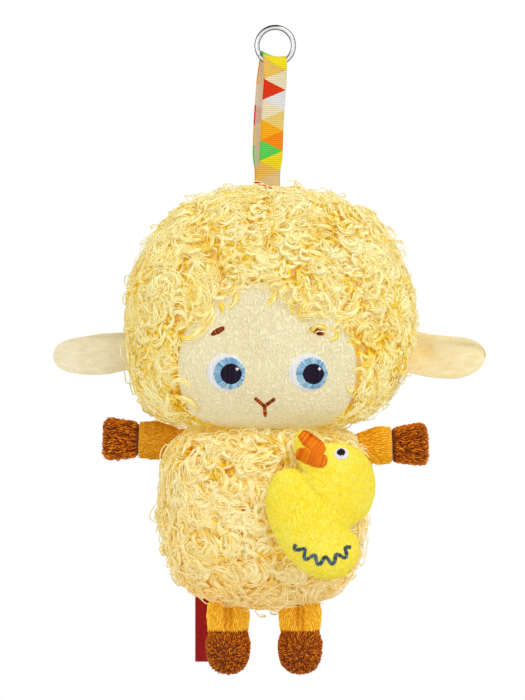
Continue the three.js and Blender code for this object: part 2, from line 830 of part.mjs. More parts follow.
// What a limb sweeps near its root: a ball round the pivot, and a mouth that opens towards both ends of its
// swing. The mouth's rings lie across the limb, from one end of the swing to the other.
const mouthPower = 3.2;
const mouthSides = 12;
function limbSweep(limb, place, hinge, lowDegrees, highDegrees) {
  const outward = axisY.clone().transformDirection(limb.matrix);
  const sideways = hinge.clone().cross(outward);
  const swungPoint = (degrees, distance, radius) => {
    const [sine, cosine] = [Math.sin(radians(degrees)), Math.cos(radians(degrees))];
    const sign = Math.sign(degrees);
    const point = outward.clone().multiplyScalar(cosine * distance - sign * sine * radius);
    return point.addScaledVector(sideways, sine * distance + sign * cosine * radius);
  };
  const rings = [];
  for (let step = 0; step <= profileSteps; step++) {
    const distance = (limb.seam * step) / profileSteps;
    const radius = sleeveRadius(limb, distance) + swingGap;
    const high = swungPoint(highDegrees, distance, radius);
    const low = swungPoint(lowDegrees, distance, radius);
    const middle = high.clone().add(low).divideScalar(2);
    const halfSpan = high.clone().sub(low).divideScalar(2);
    const ring = [];
    for (let side = 0; side < mouthSides; side++) {
      const turn = (2 * Math.PI * (side + 0.5)) / mouthSides;
      const point = middle.clone().addScaledVector(halfSpan, signedPower(Math.cos(turn), mouthPower));
      ring.push(point.addScaledVector(hinge, radius * signedPower(Math.sin(turn), mouthPower)));
    }
    rings.push(ring);
  }
  const ball = solidOf(new THREE.SphereGeometry(limb.rootRadius + swingGap, cutterSides, cutterSides / 2));
  return joined(ball, solidOf(skin(rings))).translate(place.toArray());
}

// Arms stand out sideways and swing forward and back about upright axes
const bodyCutters = [];
for (const [side, word, drop, length] of [
  [-1, "left", armDropLeft, armLengthLeft],
  [1, "right", armDropRight, armLengthRight],
]) {
  const z = bodyShoulderFall - drop;
  const pivot = halfWidthAt(bodyForm, z) - armShoulderDepth;
  const place = new THREE.Vector3(side * pivot, 0, z);
  const outward = axisX.clone().multiplyScalar(side);
  const limb = {
    rootRadius: armRootRadius,
    radius: armRadius,
    taperLength: armTaperLength,
    seam: length - armCuffLength,
    seamRadius: armWristRadius,
    length,
    endRadius: armCuffRadius,
    endSwellShare: 0.3,
    endRoundShare: 0.3,
    endPower: 3.2,
    pile: pileDepth,
    matrix: along(axisZ, outward, axisY.clone().multiplyScalar(side)),
  };
  const arm = new THREE.Group();
  arm.position.copy(place);
  body.add(arm);
  addLimb(arm, `arm_${word}`, "cuff", limb);
  bodyCutters.push(limbSweep(limb, place, axisZ, -armSwingDegrees, armSwingDegrees));
}

// Legs hang down and swing forward and back about axes along X
for (const [side, word] of [
  [-1, "left"],
  [1, "right"],
]) {
  const x = legOffset + (side * legSpacing) / 2;
  const place = new THREE.Vector3(x, -legForward, legHipDepth - bodyFall);
  const limb = {
    rootRadius: legRootRadius,
    radius: legRadius,
    taperLength: legTaperLength,
    seam: legLength - legHoofHeight,
    seamRadius: legAnkleRadius,
    length: legLength,
    endRadius: legHoofRadius,
    endSwellShare: 0.3,
    endRoundShare: 0.25,
    endPower: 2.4,
    pile: pileDepth,
    matrix: along(axisX, axisZ.clone().negate(), axisY),
  };
  const leg = new THREE.Group();
  leg.position.copy(place);
  body.add(leg);
  addLimb(leg, `leg_${word}`, "hoof", limb);
  bodyCutters.push(limbSweep(limb, place, axisX, -legForwardDegrees, legBackDegrees));
}

// Label: its root sits in a slot of the body's underside, from which it hangs
const labelHingeZ = labelHingeDepth - fallAt(bodyForm, labelOffset, labelSetback);
const label = new THREE.BoxGeometry(labelWidth, labelThickness, labelLength + labelRootTail);
label.translate(labelOffset, labelSetback, labelHingeZ + labelRootTail - (labelLength + labelRootTail) / 2);
addPiece(body, "side_label", label, wovenRed);
bodyCutters.push(
  fanSolid(
    Math.hypot(labelRootTail, labelThickness / 2) + gap,
    labelThickness / 2 + gap,
    labelHingeDepth + bodyFurDepth + overrun,
    -labelForwardDegrees,
    labelBackDegrees,
    labelWidth + 2 * gap,
    along(
      axisY,
      axisZ.clone().negate(),
      axisX.clone().negate(),
      new THREE.Vector3(labelOffset, labelSetback, labelHingeZ),
    ),
  ),
);

// Body cover and filling
const bodyNeckZ = bodyShoulderFall;
function aboveNeckBlock(bottom) {
  const block = new THREE.BoxGeometry(bodyWidth, bodyWidth, bodyFurDepth);
  block.translate(0, 0, bottom + bodyFurDepth / 2);
  return solidOf(block);
}
const neckX = -bodyOffset;
const bodyNeckColumn = (radius, low, high) => neckColumn(radius, low, high).translate(neckX, 0, 0);
addPiece(
  body,
  "body_fur_cover",
  cut(
    curlySkin(bodyForm, 0),
    bodyLining(-bodyFurDepth),
    aboveNeckBlock(bodyNeckZ),
    bodyNeckColumn(neckHoleRadius, 0, bodyNeckZ + overrun),
    ...bodyCutters,
  ),
  curlyFur,
);
addPiece(
  body,
  "body_filling",
  cut(
    joined(
      bodyLining(-bodyFurDepth - gap),
      bodyNeckColumn(neckHoleRadius - gap, 0, bodyNeckZ),
    ),
    ...bodyCutters,
  ),
  polyesterFibre,
);

// Duck: an outline round a middle point, with x and z as shares of the duck's height
const duckOutlineShares = [
  [-0.155, 0.516],
  [-0.03, 0.44],
  [0.15, 0.42],
  [0.286, 0.32],
  [0.337, 0.141],
  [0.286, -0.046],
  [0.165, -0.14],
  [0.208, -0.2],
  [0.228, -0.32],
  [0.13, -0.453],
  [-0.041, -0.476],
  [-0.214, -0.374],
  [-0.354, -0.171],
  [-0.405, 0.047],
  [-0.338, 0.227],
  [-0.225, 0.265],
  [-0.158, 0.24],
  [-0.205, 0.36],
  [-0.208, 0.468],
];
const duckPoints = 34;
const duckRingShares = [0.35, 0.6, 0.8, 0.92, 1];
const duck = new THREE.Group();
duck.position.set(duckOffset, -bodyDepth / 2 - duckStandoff, -duckDrop);
body.add(duck);
const duckOutline = smoothOutline(
  duckOutlineShares.map(([x, z]) => [x * duckHeight, z * duckHeight]),
  duckPoints,
);
const duckHalfWidthShare = 0.48;
const duckBendMiddleShare = -0.14;

// The duck's middle surface is flat in front of the body and bends back round its side.
function duckBendAt(x) {
  const share = (x - duckHeight * duckBendMiddleShare) / (duckHeight * duckHalfWidthShare);
  return duckBend * Math.max(0, share) ** 2;
}

// How far a place on the duck is from its seamed edge.
function duckEdgeDistance(place) {
  let least = duckHeight;
  duckOutline.forEach((from, i) => {
    const side = duckOutline[(i + 1) % duckOutline.length].clone().sub(from);
    const share = THREE.MathUtils.clamp(place.clone().sub(from).dot(side) / side.lengthSq(), 0, 1);
    least = Math.min(least, from.clone().addScaledVector(side, share).distanceTo(place));
  });
  return least;
}

// The duck rises round from its seam to its full bulge.
function duckBulgeAt(place, bulge) {
  const flat = 1 - Math.min(1, duckEdgeDistance(place) / duckRoundWidth);
  return duckSeamHalfThickness + (bulge - duckSeamHalfThickness) * Math.sqrt(1 - flat * flat);
}

// A ring round the duck's middle point; its depth is a number or worked out at each place.
function duckRing(ringShare, depthAt) {
  const places = ringShare === 0 ? [new THREE.Vector2()] : duckOutline;
  return places.map((edge) => {
    const place = edge.clone().multiplyScalar(ringShare);
    return new THREE.Vector3(place.x, duckBendAt(place.x) + depthAt(place), place.y);
  });
}

// Rings of one side of the duck from its middle to its edge, drawn in by an inset
const duckInsetShare = (inset) => 1 - (2 * inset) / (duckHeight * duckHalfWidthShare);
function duckSideRings(face, bulge, inset, seamDepth = gap) {
  const edgeShare = duckInsetShare(inset);
  const depthAt = (place) => face * Math.max(duckBulgeAt(place, bulge) - inset, seamDepth);
  return [0, ...duckRingShares].map((ringShare) => duckRing(ringShare * edgeShare, depthAt));
}
function duckPanel(face, bulge) {
  const outer = duckSideRings(face, bulge, 0);
  const inner = duckSideRings(face, bulge, velourWall);
  const seam = () => (face * gap) / 2;
  return skin([...outer, duckRing(1, seam), duckRing(duckInsetShare(velourWall), seam), ...inner.reverse()]);
}
addPiece(duck, "duck_front_panel", duckPanel(-1, duckFrontBulge), yellowVelour);
const duckInBody = new THREE.Vector3().copy(duck.position).negate();
addPiece(
  duck,
  "duck_back_panel",
  cut(solidOf(duckPanel(1, duckBackBulge)), curlySkin(bodyForm, gap).translate(duckInBody.toArray())),
  yellowVelour,
);
const duckFillingInset = velourWall + 3 * gap;
const duckFillingEdge = gap / 3;
addPiece(
  duck,
  "duck_filling",
  skin([
    ...duckSideRings(-1, duckFrontBulge, duckFillingInset, duckFillingEdge),
    ...duckSideRings(1, duckBackBulge, duckFillingInset, duckFillingEdge).reverse(),
  ]),
  polyesterFibre,
);

// Embroidery on the duck's front: a layer that follows the panel inside an outline
function duckPatch(thickness, outline) {
  const layerSkin = (grow, back) => {
    const front = (place) => -duckBulgeAt(place, duckFrontBulge) - grow;
    const rings = [0, ...duckRingShares].map((ringShare) => duckRing(ringShare, front));
    rings.push(duckRing(1, () => back), duckRing(0, () => back));
    return solidOf(skin(rings));
  };
  const layer = layerSkin(gap + thickness, 0).subtract(layerSkin(gap, overrun));
  return layer.intersect(prismY(outline, -duckHeight, duckHeight));
}
const duckPlace = (xShare, zShare) => [xShare * duckHeight, zShare * duckHeight];
const ovalSides = 16;
const beakUpperShares = { place: [-0.08, 0.426], length: 0.18, width: 0.09, degrees: -40 };
const beakLowerShares = { place: [-0.088, 0.322], length: 0.2, width: 0.08, degrees: -28 };
const duckOval = ({ place, length, width, degrees }, grow = 0) =>
  ovalOutline(
    ...duckPlace(...place),
    (length * duckHeight) / 2 + grow,
    (width * duckHeight) / 2 + grow,
    degrees,
    ovalSides,
  );
const beakUpper = duckPatch(duckBeakThickness, duckOval(beakUpperShares));
const beakLower = duckPatch(duckBeakThickness, duckOval(beakLowerShares));
const beakParting = prismY(duckOval(beakUpperShares, patchGap), -duckHeight, duckHeight);
addPiece(duck, "duck_beak_upper", beakUpper, orangeThread);
addPiece(duck, "duck_beak_lower", beakLower.subtract(beakParting), orangeThread);
const duckEyeShares = { place: [0.103, 0.36], length: 0.097, width: 0.082, degrees: 0 };
const duckPupilShares = { place: [0.101, 0.37], length: 0.058, width: 0.047, degrees: 0 };
addPiece(
  duck,
  "duck_eye_white",
  duckPatch(stitchHeight, duckOval(duckEyeShares)).subtract(
    prismY(duckOval(duckPupilShares, patchGap), -duckHeight, duckHeight),
  ),
  whiteThread,
);
addPiece(
  duck,
  "duck_pupil",
  duckPatch(stitchHeight, duckOval(duckPupilShares, -patchGap)),
  darkThread,
);

// A wavy line of thread low on the duck
const waveRadiusShare = 0.225;
const wavePlaceShares = [-0.01, -0.13];
const waveWidthShare = 0.022;
const waveHeightShare = 0.018;
const waveSpanDegrees = 112;
const waveMiddleDegrees = -94;
const waveCount = 4;
const waveSteps = 24;
function waveOutline() {
  const [outer, inner] = [[], []];
  const [middleX, middleZ] = duckPlace(...wavePlaceShares);
  for (let step = 0; step <= waveSteps; step++) {
    const share = step / waveSteps;
    const turn = radians(waveMiddleDegrees + waveSpanDegrees * (share - 0.5));
    const wave = waveHeightShare * Math.sin(2 * Math.PI * waveCount * share);
    const radius = duckHeight * (waveRadiusShare + wave);
    const half = (duckHeight * waveWidthShare) / 2;
    const place = (distance) =>
      new THREE.Vector2(middleX + distance * Math.cos(turn), middleZ + distance * Math.sin(turn));
    outer.push(place(radius + half));
    inner.unshift(place(radius - half));
  }
  return [...outer, ...inner];
}
addPiece(duck, "duck_wave_stitch", duckPatch(stitchHeight, waveOutline()), greyThread);

export default sheep;
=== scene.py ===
import json
import math
import bpy
import numpy as np
from mathutils import Euler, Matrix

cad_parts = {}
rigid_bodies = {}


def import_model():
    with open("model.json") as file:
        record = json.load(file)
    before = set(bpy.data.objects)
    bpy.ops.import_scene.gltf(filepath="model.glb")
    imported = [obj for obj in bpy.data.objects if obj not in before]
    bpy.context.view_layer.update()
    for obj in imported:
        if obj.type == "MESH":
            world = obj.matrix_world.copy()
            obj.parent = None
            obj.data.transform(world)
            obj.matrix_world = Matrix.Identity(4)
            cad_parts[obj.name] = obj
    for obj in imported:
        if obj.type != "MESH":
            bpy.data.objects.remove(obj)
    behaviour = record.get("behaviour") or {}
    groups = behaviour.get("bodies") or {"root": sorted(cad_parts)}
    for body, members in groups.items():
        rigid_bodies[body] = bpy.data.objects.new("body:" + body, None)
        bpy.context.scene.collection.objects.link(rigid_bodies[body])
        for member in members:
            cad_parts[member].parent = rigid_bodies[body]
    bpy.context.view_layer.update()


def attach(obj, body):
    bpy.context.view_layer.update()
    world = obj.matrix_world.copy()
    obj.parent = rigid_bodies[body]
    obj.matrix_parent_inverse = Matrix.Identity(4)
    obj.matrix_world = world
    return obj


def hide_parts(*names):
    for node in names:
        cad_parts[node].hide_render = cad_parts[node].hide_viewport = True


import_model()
bpy.ops.object.select_all(action="DESELECT")

# Studio
# The toy hangs free over a pale floor, and a long lens looks straight at it from the front.
# A big soft key from the right, a weaker fill from the left and the white room light it evenly.
view_centre = (-0.0061, -0.1536)
view_height = 0.336
lens, sensor = 250, 36
camera_distance = view_height * lens / sensor
bpy.ops.object.camera_add(
    location=(view_centre[0], -camera_distance, view_centre[1]),
    rotation=(math.pi / 2, 0, 0),
)
camera = bpy.context.object
camera.data.lens = lens
bpy.context.scene.camera = camera
bpy.context.scene.view_settings.view_transform = "Standard"


def wired(tree, made, inputs):
    """Fills a node's inputs: a number or colour is set on the socket, another node's output is linked to it."""
    for key, value in inputs.items():
        if isinstance(value, bpy.types.NodeSocket):
            tree.links.new(value, made.inputs[key])
        else:
            made.inputs[key].default_value = value


def node(tree, kind, inputs=None, output=0, **settings):
    """A new node with its settings and inputs; gives the output that the next node reads."""
    made = tree.nodes.new(kind)
    for key, value in settings.items():
        setattr(made, key, value)
    wired(tree, made, inputs or {})
    return made.outputs[output]


def maths(tree, kind, *values):
    return node(tree, "ShaderNodeMath", dict(enumerate(values)), operation=kind)


def ramp(tree, source, stops, constant=False):
    made = tree.nodes.new("ShaderNodeValToRGB")
    made.color_ramp.interpolation = "CONSTANT" if constant else "LINEAR"
    while len(made.color_ramp.elements) < len(stops):
        made.color_ramp.elements.new(0.5)
    for element, (place, colour) in zip(made.color_ramp.elements, stops):
        element.position = place
        element.color = (*colour, 1)
    tree.links.new(source, made.inputs["Fac"])
    return made.outputs["Color"]


world = bpy.data.worlds.new("studio_room")
bpy.context.scene.world = world
world.use_nodes = True
room = world.node_tree
room.nodes.clear()
room_light = node(room, "ShaderNodeBackground", {"Color": (1.0, 0.985, 0.96, 1), "Strength": 0.62})
# The room is white all round and dark above, where the polished ring mirrors its ceiling
room_way = node(room, "ShaderNodeTexCoord", output="Generated")
room_height = node(room, "ShaderNodeSeparateXYZ", {0: room_way}, "Z")
room_colour = ramp(room, room_height, [(0.2, (1, 1, 1)), (0.55, (0.07, 0.055, 0.05))])
room_seen = node(room, "ShaderNodeBackground", {"Color": room_colour, "Strength": 1.0})
ray = room.nodes.new("ShaderNodeLightPath").outputs
seen_or_mirrored = maths(room, "MAXIMUM", ray["Is Camera Ray"], ray["Is Glossy Ray"])
seen_or_mirrored = maths(room, "MAXIMUM", seen_or_mirrored, ray["Is Transmission Ray"])
room_mix = node(room, "ShaderNodeMixShader", {0: seen_or_mirrored, 1: room_light, 2: room_seen})
wired(room, room.nodes.new("ShaderNodeOutputWorld"), {0: room_mix})

for name, strength, turn, softness in (
    ("key_light", 1.25, (math.radians(52), 0, math.radians(38)), 40),
    ("fill_light", 0.45, (math.radians(70), 0, math.radians(-55)), 60),
):
    bpy.ops.object.light_add(type="SUN", location=(0, -1, 0.5), rotation=turn)
    lamp = bpy.context.object
    lamp.name = name
    lamp.data.energy = strength
    lamp.data.angle = math.radians(softness)


def new_material(name):
    material = bpy.data.materials.new(name)
    material.use_nodes = True
    return material, material.node_tree, material.node_tree.nodes["Principled BSDF"]


bpy.ops.mesh.primitive_plane_add(size=1.6, location=(0, 0, -0.52))
floor = bpy.context.object
floor.name = "studio_floor"
pale, tree, shader = new_material("pale_floor")
wired(tree, shader, {"Base Color": (0.93, 0.93, 0.92, 1), "Roughness": 0.9})
floor.data.materials.append(pale)

# Hanging ring
# A ring of round nickel-plated steel wire, bent until its two ends meet in a butt joint.
# Its tone is painted: light on its front and back and dark towards its rims, a painted reflection, with a little
# random smudge.
MM = 0.001
wire_radius = 1.25 * MM
ring_radius = 8.75 * MM
ring_centre = -7.5 * MM
joint_turn = math.radians(214)
joint_width, joint_depth = 0.28 * MM, 0.16
bpy.ops.mesh.primitive_torus_add(
    major_radius=ring_radius,
    minor_radius=wire_radius,
    major_segments=160,
    minor_segments=28,
    location=(0, 0, ring_centre),
    rotation=(math.pi / 2, 0, 0),
)
ring = bpy.context.object
ring.name = "nickel_ring"
bpy.ops.object.transform_apply(location=True, rotation=True, scale=True)
for vertex in ring.data.vertices:
    x, y, z = vertex.co.x, vertex.co.y, vertex.co.z - ring_centre
    turn = math.atan2(z, x) % (2 * math.pi)
    away = abs(turn - joint_turn) * ring_radius
    pinch = joint_depth * math.exp(-((away / joint_width) ** 2))
    middle_x, middle_z = ring_radius * math.cos(turn), ring_radius * math.sin(turn)
    vertex.co.x = x + (middle_x - x) * pinch
    vertex.co.y = y * (1 - pinch)
    vertex.co.z = ring_centre + z + (middle_z - z) * pinch
bpy.ops.object.shade_smooth()


def srgb(red, green, blue):
    """A colour picked as red, green and blue from 0 to 255, in the linear values that materials take."""
    return tuple((c / 255 / 12.92) if c <= 10 else ((c / 255 + 0.055) / 1.055) ** 2.4 for c in (red, green, blue))


def object_place(tree):
    return node(tree, "ShaderNodeTexCoord", output="Object")


def noise(tree, vector, scale, detail=2.0, roughness=0.5):
    inputs = {"Vector": vector, "Scale": scale, "Detail": detail, "Roughness": roughness}
    return node(tree, "ShaderNodeTexNoise", inputs, "Fac")


def about_half(tree, value, gain):
    """How far a value lies above or below a half, made larger or smaller by a gain."""
    return maths(tree, "MULTIPLY", maths(tree, "SUBTRACT", value, 0.5), gain)


def stretched(tree, vector, scale, turn=0.0):
    """Coordinates scaled along each axis and turned about Z, so that what is drawn on them gets a direction."""
    inputs = {"Vector": vector, "Scale": scale, "Rotation": (0, 0, turn)}
    return node(tree, "ShaderNodeMapping", inputs, "Vector")


def split_up(tree, vector):
    made = tree.nodes.new("ShaderNodeSeparateXYZ")
    tree.links.new(vector, made.inputs[0])
    return made.outputs


def raised(tree, height, distance, strength=1.0):
    """The normal of a surface that stands up to a distance higher where the height is 1."""
    inputs = {"Height": height, "Distance": distance, "Strength": strength}
    return node(tree, "ShaderNodeBump", inputs, "Normal")


def finished(piece, material, slot, body, *nodes, fill=None):
    """Gives a piece its material, hides the nodes it stands for and attaches it to the body it moves with. The slot
    and fill are not used.
    """
    piece.data.materials.clear()
    piece.data.materials.append(material)
    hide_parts(*nodes)
    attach(piece, body)


nickel, tree, shader = new_material("nickel_plate")
place = object_place(tree)
# Painted reflection: the colour is light where the wire faces front or back and dark towards its rims, and a smudge
# varies it at random
depth = maths(tree, "DIVIDE", maths(tree, "ABSOLUTE", split_up(tree, place)["Y"]), wire_radius)
smudge = noise(tree, stretched(tree, place, (900, 900, 900)), 1.0, 3)
reflection_and_smudge = maths(tree, "ADD", depth, about_half(tree, smudge, 0.35))
painted_reflection_tones = [(0.3, srgb(70, 62, 60)), (0.66, srgb(128, 120, 118))]
painted_reflection_tones += [(0.84, srgb(206, 205, 208)), (0.97, srgb(238, 240, 244))]
polish_lines = noise(tree, stretched(tree, place, (2500, 400, 2500)), 1.0, 2)
wired(tree, shader, {
    "Base Color": ramp(tree, reflection_and_smudge, painted_reflection_tones),
    "Metallic": 1.0,
    "Roughness": maths(tree, "MULTIPLY_ADD", smudge, 0.16, 0.14),
    "Normal": raised(tree, polish_lines, 0.00003, 0.35),
})
finished(ring, nickel, "nickel_ring", "ring", "hanging_ring")

# Ribbon loop
# Printed grosgrain 12 mm wide, folded over the ring's wire and sewn into the seam on top of the head.
# Its face is printed with triangles in two rows, and the reverse shows the print washed out.
ribbon_width = 12.0
ribbon_thickness = 0.7
ribbon_turn = math.radians(28)
cup_radius, cup_from = 14.0, 0.86
root_x, root_z = -3.7, -79.0
root_gap, fold_radius = 1.5, 3.8
crest_offset = -1.1
crest_z = -12.9
strand_height = crest_z - fold_radius - root_z
strand_steps, fold_steps, across_steps = 150, 30, 16


def eased(x):
    """A share from 0 to 1 that starts and ends slowly."""
    x = min(1.0, max(0.0, x))
    return x * x * (3 - 2 * x)


def ribbon_point(height, spread, across):
    """A point of the ribbon's middle: it turns soon above the seam, and cups round the wire at the top."""
    share = max(0.0, height / strand_height)
    cup = eased((share - cup_from) / (1 - cup_from))
    turn = ribbon_turn * eased(share / 0.26) * (1 - 0.5 * cup)
    middle = root_x + (crest_offset - root_x) * min(1.0, share) - 0.9 * math.sin(math.pi * min(1.0, share))
    bend = (across + crest_offset) / cup_radius
    flat = across + (cup_radius * math.sin(bend) - crest_offset - across) * cup
    lift = (cup_radius * (1 - math.cos(bend)) - 0.12 * (across + crest_offset)) * cup
    x = middle + flat * math.cos(turn) - spread * math.sin(turn)
    y = flat * math.sin(turn) + spread * math.cos(turn)
    return np.array((x, y, root_z + height + lift))


def strand_spread(height):
    """How far each strand stands from the middle between them; they part above the curls."""
    opened = eased((height - 7.7) / (strand_height * 0.2))
    return (root_gap + (2 * fold_radius - root_gap) * opened) / 2


heights = [-1 + (strand_height + 1) * i / strand_steps for i in range(strand_steps + 1)]
fold_turns = [math.pi * i / fold_steps for i in range(1, fold_steps)]
stations = [(h, -strand_spread(h)) for h in heights]
stations += [(strand_height + fold_radius * math.sin(a), -fold_radius * math.cos(a)) for a in fold_turns]
stations += [(h, strand_spread(h)) for h in reversed(heights)]
across_places = [ribbon_width * (j / across_steps - 0.5) for j in range(across_steps + 1)]
middles = np.array([[ribbon_point(h, s, across) for across in across_places] for h, s in stations])
along_ribbon = np.gradient(middles, axis=0)
across_ribbon = np.gradient(middles, axis=1)
face_normals = np.cross(along_ribbon, across_ribbon)
face_normals /= np.linalg.norm(face_normals, axis=2)[:, :, None]
run = np.concatenate([[0], np.cumsum(np.linalg.norm(np.diff(middles[:, across_steps // 2], axis=0), axis=1))])


def mesh_piece(name, points, faces, uvs, values=None):
    """A smooth mesh object from arrays of points in millimetres, quads, and the UVs and values at its points."""
    points = np.asarray(points, np.float64).reshape(-1, 3) * MM
    faces = np.asarray(faces, np.int32).reshape(-1, 4)
    mesh = bpy.data.meshes.new(name)
    mesh.vertices.add(len(points))
    mesh.vertices.foreach_set("co", points.ravel())
    mesh.loops.add(faces.size)
    mesh.loops.foreach_set("vertex_index", faces.ravel())
    mesh.polygons.add(len(faces))
    mesh.polygons.foreach_set("loop_start", np.arange(0, faces.size, 4, dtype=np.int32))
    mesh.polygons.foreach_set("use_smooth", np.full(len(faces), True))
    mesh.update(calc_edges=True)
    layer = mesh.uv_layers.new(name="UVMap")
    layer.data.foreach_set("uv", np.asarray(uvs, np.float32).reshape(-1, 2)[faces.ravel()].ravel())
    for key, numbers in (values or {}).items():
        mesh.attributes.new(key, "FLOAT", "POINT").data.foreach_set("value", np.asarray(numbers, np.float32).ravel())
    mesh.validate()
    piece = bpy.data.objects.new(name, mesh)
    bpy.context.scene.collection.objects.link(piece)
    return piece


def grid_quads(rows, columns, closed=False):
    """Quads of a grid of points, row by row; a closed one joins its last column to its first."""
    r, c = np.meshgrid(np.arange(rows - 1), np.arange(columns if closed else columns - 1), indexing="ij")
    r, c = r.ravel(), c.ravel()
    d = (c + 1) % columns
    return np.stack([r * columns + c, r * columns + d, (r + 1) * columns + d, (r + 1) * columns + c], axis=1)


def cut_ends(rows, across_count):
    """Quads that close the first and last row of a flat tube, whose two sides lie back to back."""
    quads = []
    for row in (0, rows - 1):
        for j in range(across_count // 2 - 1):
            corners = (j, j + 1, across_count - 2 - j, across_count - 1 - j)
            quads.append([row * across_count + k for k in corners])
    return quads


def facing_outwards(piece, close=False):
    """Turns a piece's faces outwards. With close, its open ends are filled first, each with one face."""
    bpy.ops.object.select_all(action="DESELECT")
    bpy.context.view_layer.objects.active = piece
    piece.select_set(True)
    bpy.ops.object.mode_set(mode="EDIT")
    if close:
        bpy.ops.mesh.select_mode(type="EDGE")
        bpy.ops.mesh.select_all(action="DESELECT")
        bpy.ops.mesh.select_non_manifold(
            use_wire=False, use_boundary=True, use_multi_face=False, use_non_contiguous=False, use_verts=False
        )
        bpy.ops.mesh.fill_holes(sides=0)
    bpy.ops.mesh.select_all(action="SELECT")
    bpy.ops.mesh.normals_make_consistent(inside=False)
    bpy.ops.object.mode_set(mode="OBJECT")


half = ribbon_thickness / 2
shell = np.concatenate([middles + face_normals * half, (middles - face_normals * half)[:, ::-1]], axis=1)
one_side = np.linspace(0, 1, across_steps + 1)
ribbon_u = np.concatenate([one_side, one_side[::-1]])
ribbon_uvs = np.stack(np.broadcast_arrays(ribbon_u[None], run[:, None] / 100), axis=2)
outside = np.repeat((0.0, 1.0), across_steps + 1)
ribbon = mesh_piece(
    "ribbon_strap",
    shell,
    np.concatenate([grid_quads(*shell.shape[:2], closed=True), cut_ends(*shell.shape[:2])]),
    ribbon_uvs,
    {"outside": np.broadcast_to(outside, shell.shape[:2])},
)
facing_outwards(ribbon)


def mixed(tree, share, first, second, blend="MIX"):
    """Two colours blended by a share of 0 to 1, or the second laid over the first in another way."""
    first, second = ((*value, 1) if isinstance(value, tuple) else value for value in (first, second))
    inputs = {0: share, 6: first, 7: second}
    return node(tree, "ShaderNodeMix", inputs, 2, data_type="RGBA", blend_type=blend)


def value_of(tree, name):
    return node(tree, "ShaderNodeAttribute", output="Fac", attribute_name=name)


def uv_map(tree):
    return node(tree, "ShaderNodeUVMap", output="UV", uv_map="UVMap")


ribbon_colours = {
    "red": srgb(230, 50, 4),
    "green": srgb(92, 214, 92),
    "yellow": srgb(248, 228, 30),
    "amber": srgb(255, 176, 8),
    "orange": srgb(255, 140, 6),
    "sand": srgb(242, 196, 96),
    "cream": srgb(241, 227, 194),
    "white": srgb(232, 232, 240),
    "tan": srgb(226, 197, 146),
    "straw": srgb(240, 208, 120),
}
left_row = "amber green sand red cream amber green sand red cream amber green sand red".split()
right_row = "yellow tan orange yellow white straw orange yellow cream white straw orange yellow tan".split()
triangle_pitch, first_triangle = 9.75, 6.62
rib_pitch = 1.02
front_length = run[strand_steps] + math.pi * fold_radius / 2
grosgrain, tree, shader = new_material("printed_grosgrain")
uv = uv_map(tree)
across_value, along_value = split_up(tree, uv)[:2]


def printed_row(names, index):
    """The colour of the triangle with a number, counted along a row that repeats."""
    stops = [(i / len(names), ribbon_colours[name]) for i, name in enumerate(names)]
    return ramp(tree, maths(tree, "DIVIDE", maths(tree, "ADD", index, 0.5), len(names)), stops, constant=True)


# The strip is counted from the fold down the front, in triangles
steps_down = maths(
    tree, "MULTIPLY_ADD", along_value, -100 / triangle_pitch, front_length / triangle_pitch + first_triangle
)
from_middle = maths(tree, "ABSOLUTE", maths(tree, "SUBTRACT", maths(tree, "FRACT", steps_down), 0.5))
left_reach = maths(tree, "MULTIPLY", maths(tree, "SUBTRACT", 1.0, across_value), 0.5)
is_left = maths(tree, "LESS_THAN", from_middle, left_reach)
left_colour = printed_row(left_row, maths(tree, "FLOOR", steps_down))
right_colour = printed_row(right_row, maths(tree, "ROUND", steps_down))
print_colour = mixed(tree, is_left, right_colour, left_colour)
ribs = maths(tree, "SINE", maths(tree, "MULTIPLY", along_value, 100 * 2 * math.pi / rib_pitch))
weave = noise(tree, stretched(tree, uv, (16, 900, 1)), 1.0, 2)
rib_shade = maths(tree, "ADD", maths(tree, "MULTIPLY_ADD", ribs, 0.13, 0.86), about_half(tree, weave, 0.3))
shade = {0: rib_shade, 1: rib_shade, 2: maths(tree, "MULTIPLY", rib_shade, 0.94)}
face_colour = mixed(tree, 1.0, print_colour, node(tree, "ShaderNodeCombineColor", shade), "MULTIPLY")
washed = mixed(tree, 0.74, face_colour, srgb(212, 198, 180))
edge_away = maths(tree, "MINIMUM", across_value, maths(tree, "SUBTRACT", 1.0, across_value))
at_edge = maths(tree, "LESS_THAN", edge_away, 0.035)
shows_face = maths(tree, "MAXIMUM", value_of(tree, "outside"), at_edge)
wired(tree, shader, {
    "Base Color": mixed(tree, shows_face, washed, face_colour),
    # Painted light: the ribbon glows, fully in the washed colour on its reverse as if lit through the thin cloth, and
    # dimmer on its printed face
    "Emission Color": mixed(tree, shows_face, washed, mixed(tree, 0.6, face_colour, (0.0, 0.0, 0.0))),
    "Emission Strength": 0.3,
    "Specular IOR Level": 0.15,
    "Roughness": 0.72,
    "Sheen Weight": 0.05,
    "Normal": raised(tree, maths(tree, "ADD", maths(tree, "MULTIPLY", ribs, 0.5), weave), 0.00016, 0.8),
})
finished(ribbon, grosgrain, "ribbon_print", "ribbon", "ribbon_loop")

# Head cover
# Knitted backing with long curly pile, sewn from four gores, open at the face and the neck.
# The pile is drawn into flat locks that curl into hooks and rings, pale at their tips and ochre at the root, in part
# painted highlight and painted shade.
head_form = {"centre": (-2.7, 0.0, -134.4), "half": (70.5, 50.5), "rise": 59.1, "fall": 60.0}
head_form.update(plan_power=2.2, rise_power=2.15, fall_power=3.1, clump_columns=36, clump_rows=18)
clump_depth = 2.8
pile_height = 5.6
neck_level = -57.0
ear_level, ear_root = -19.4, 58.0
face_sink, face_offset, face_back = 2.5, -1.2, -17.0


def power_and_height(form, up, inset=0.0):
    """A form's roundness and height on the side of its centre where each value of up lies."""
    above = up > 0
    return (
        np.where(above, form["rise_power"], form["fall_power"]),
        np.where(above, form["rise"], form["fall"]) - inset,
    )


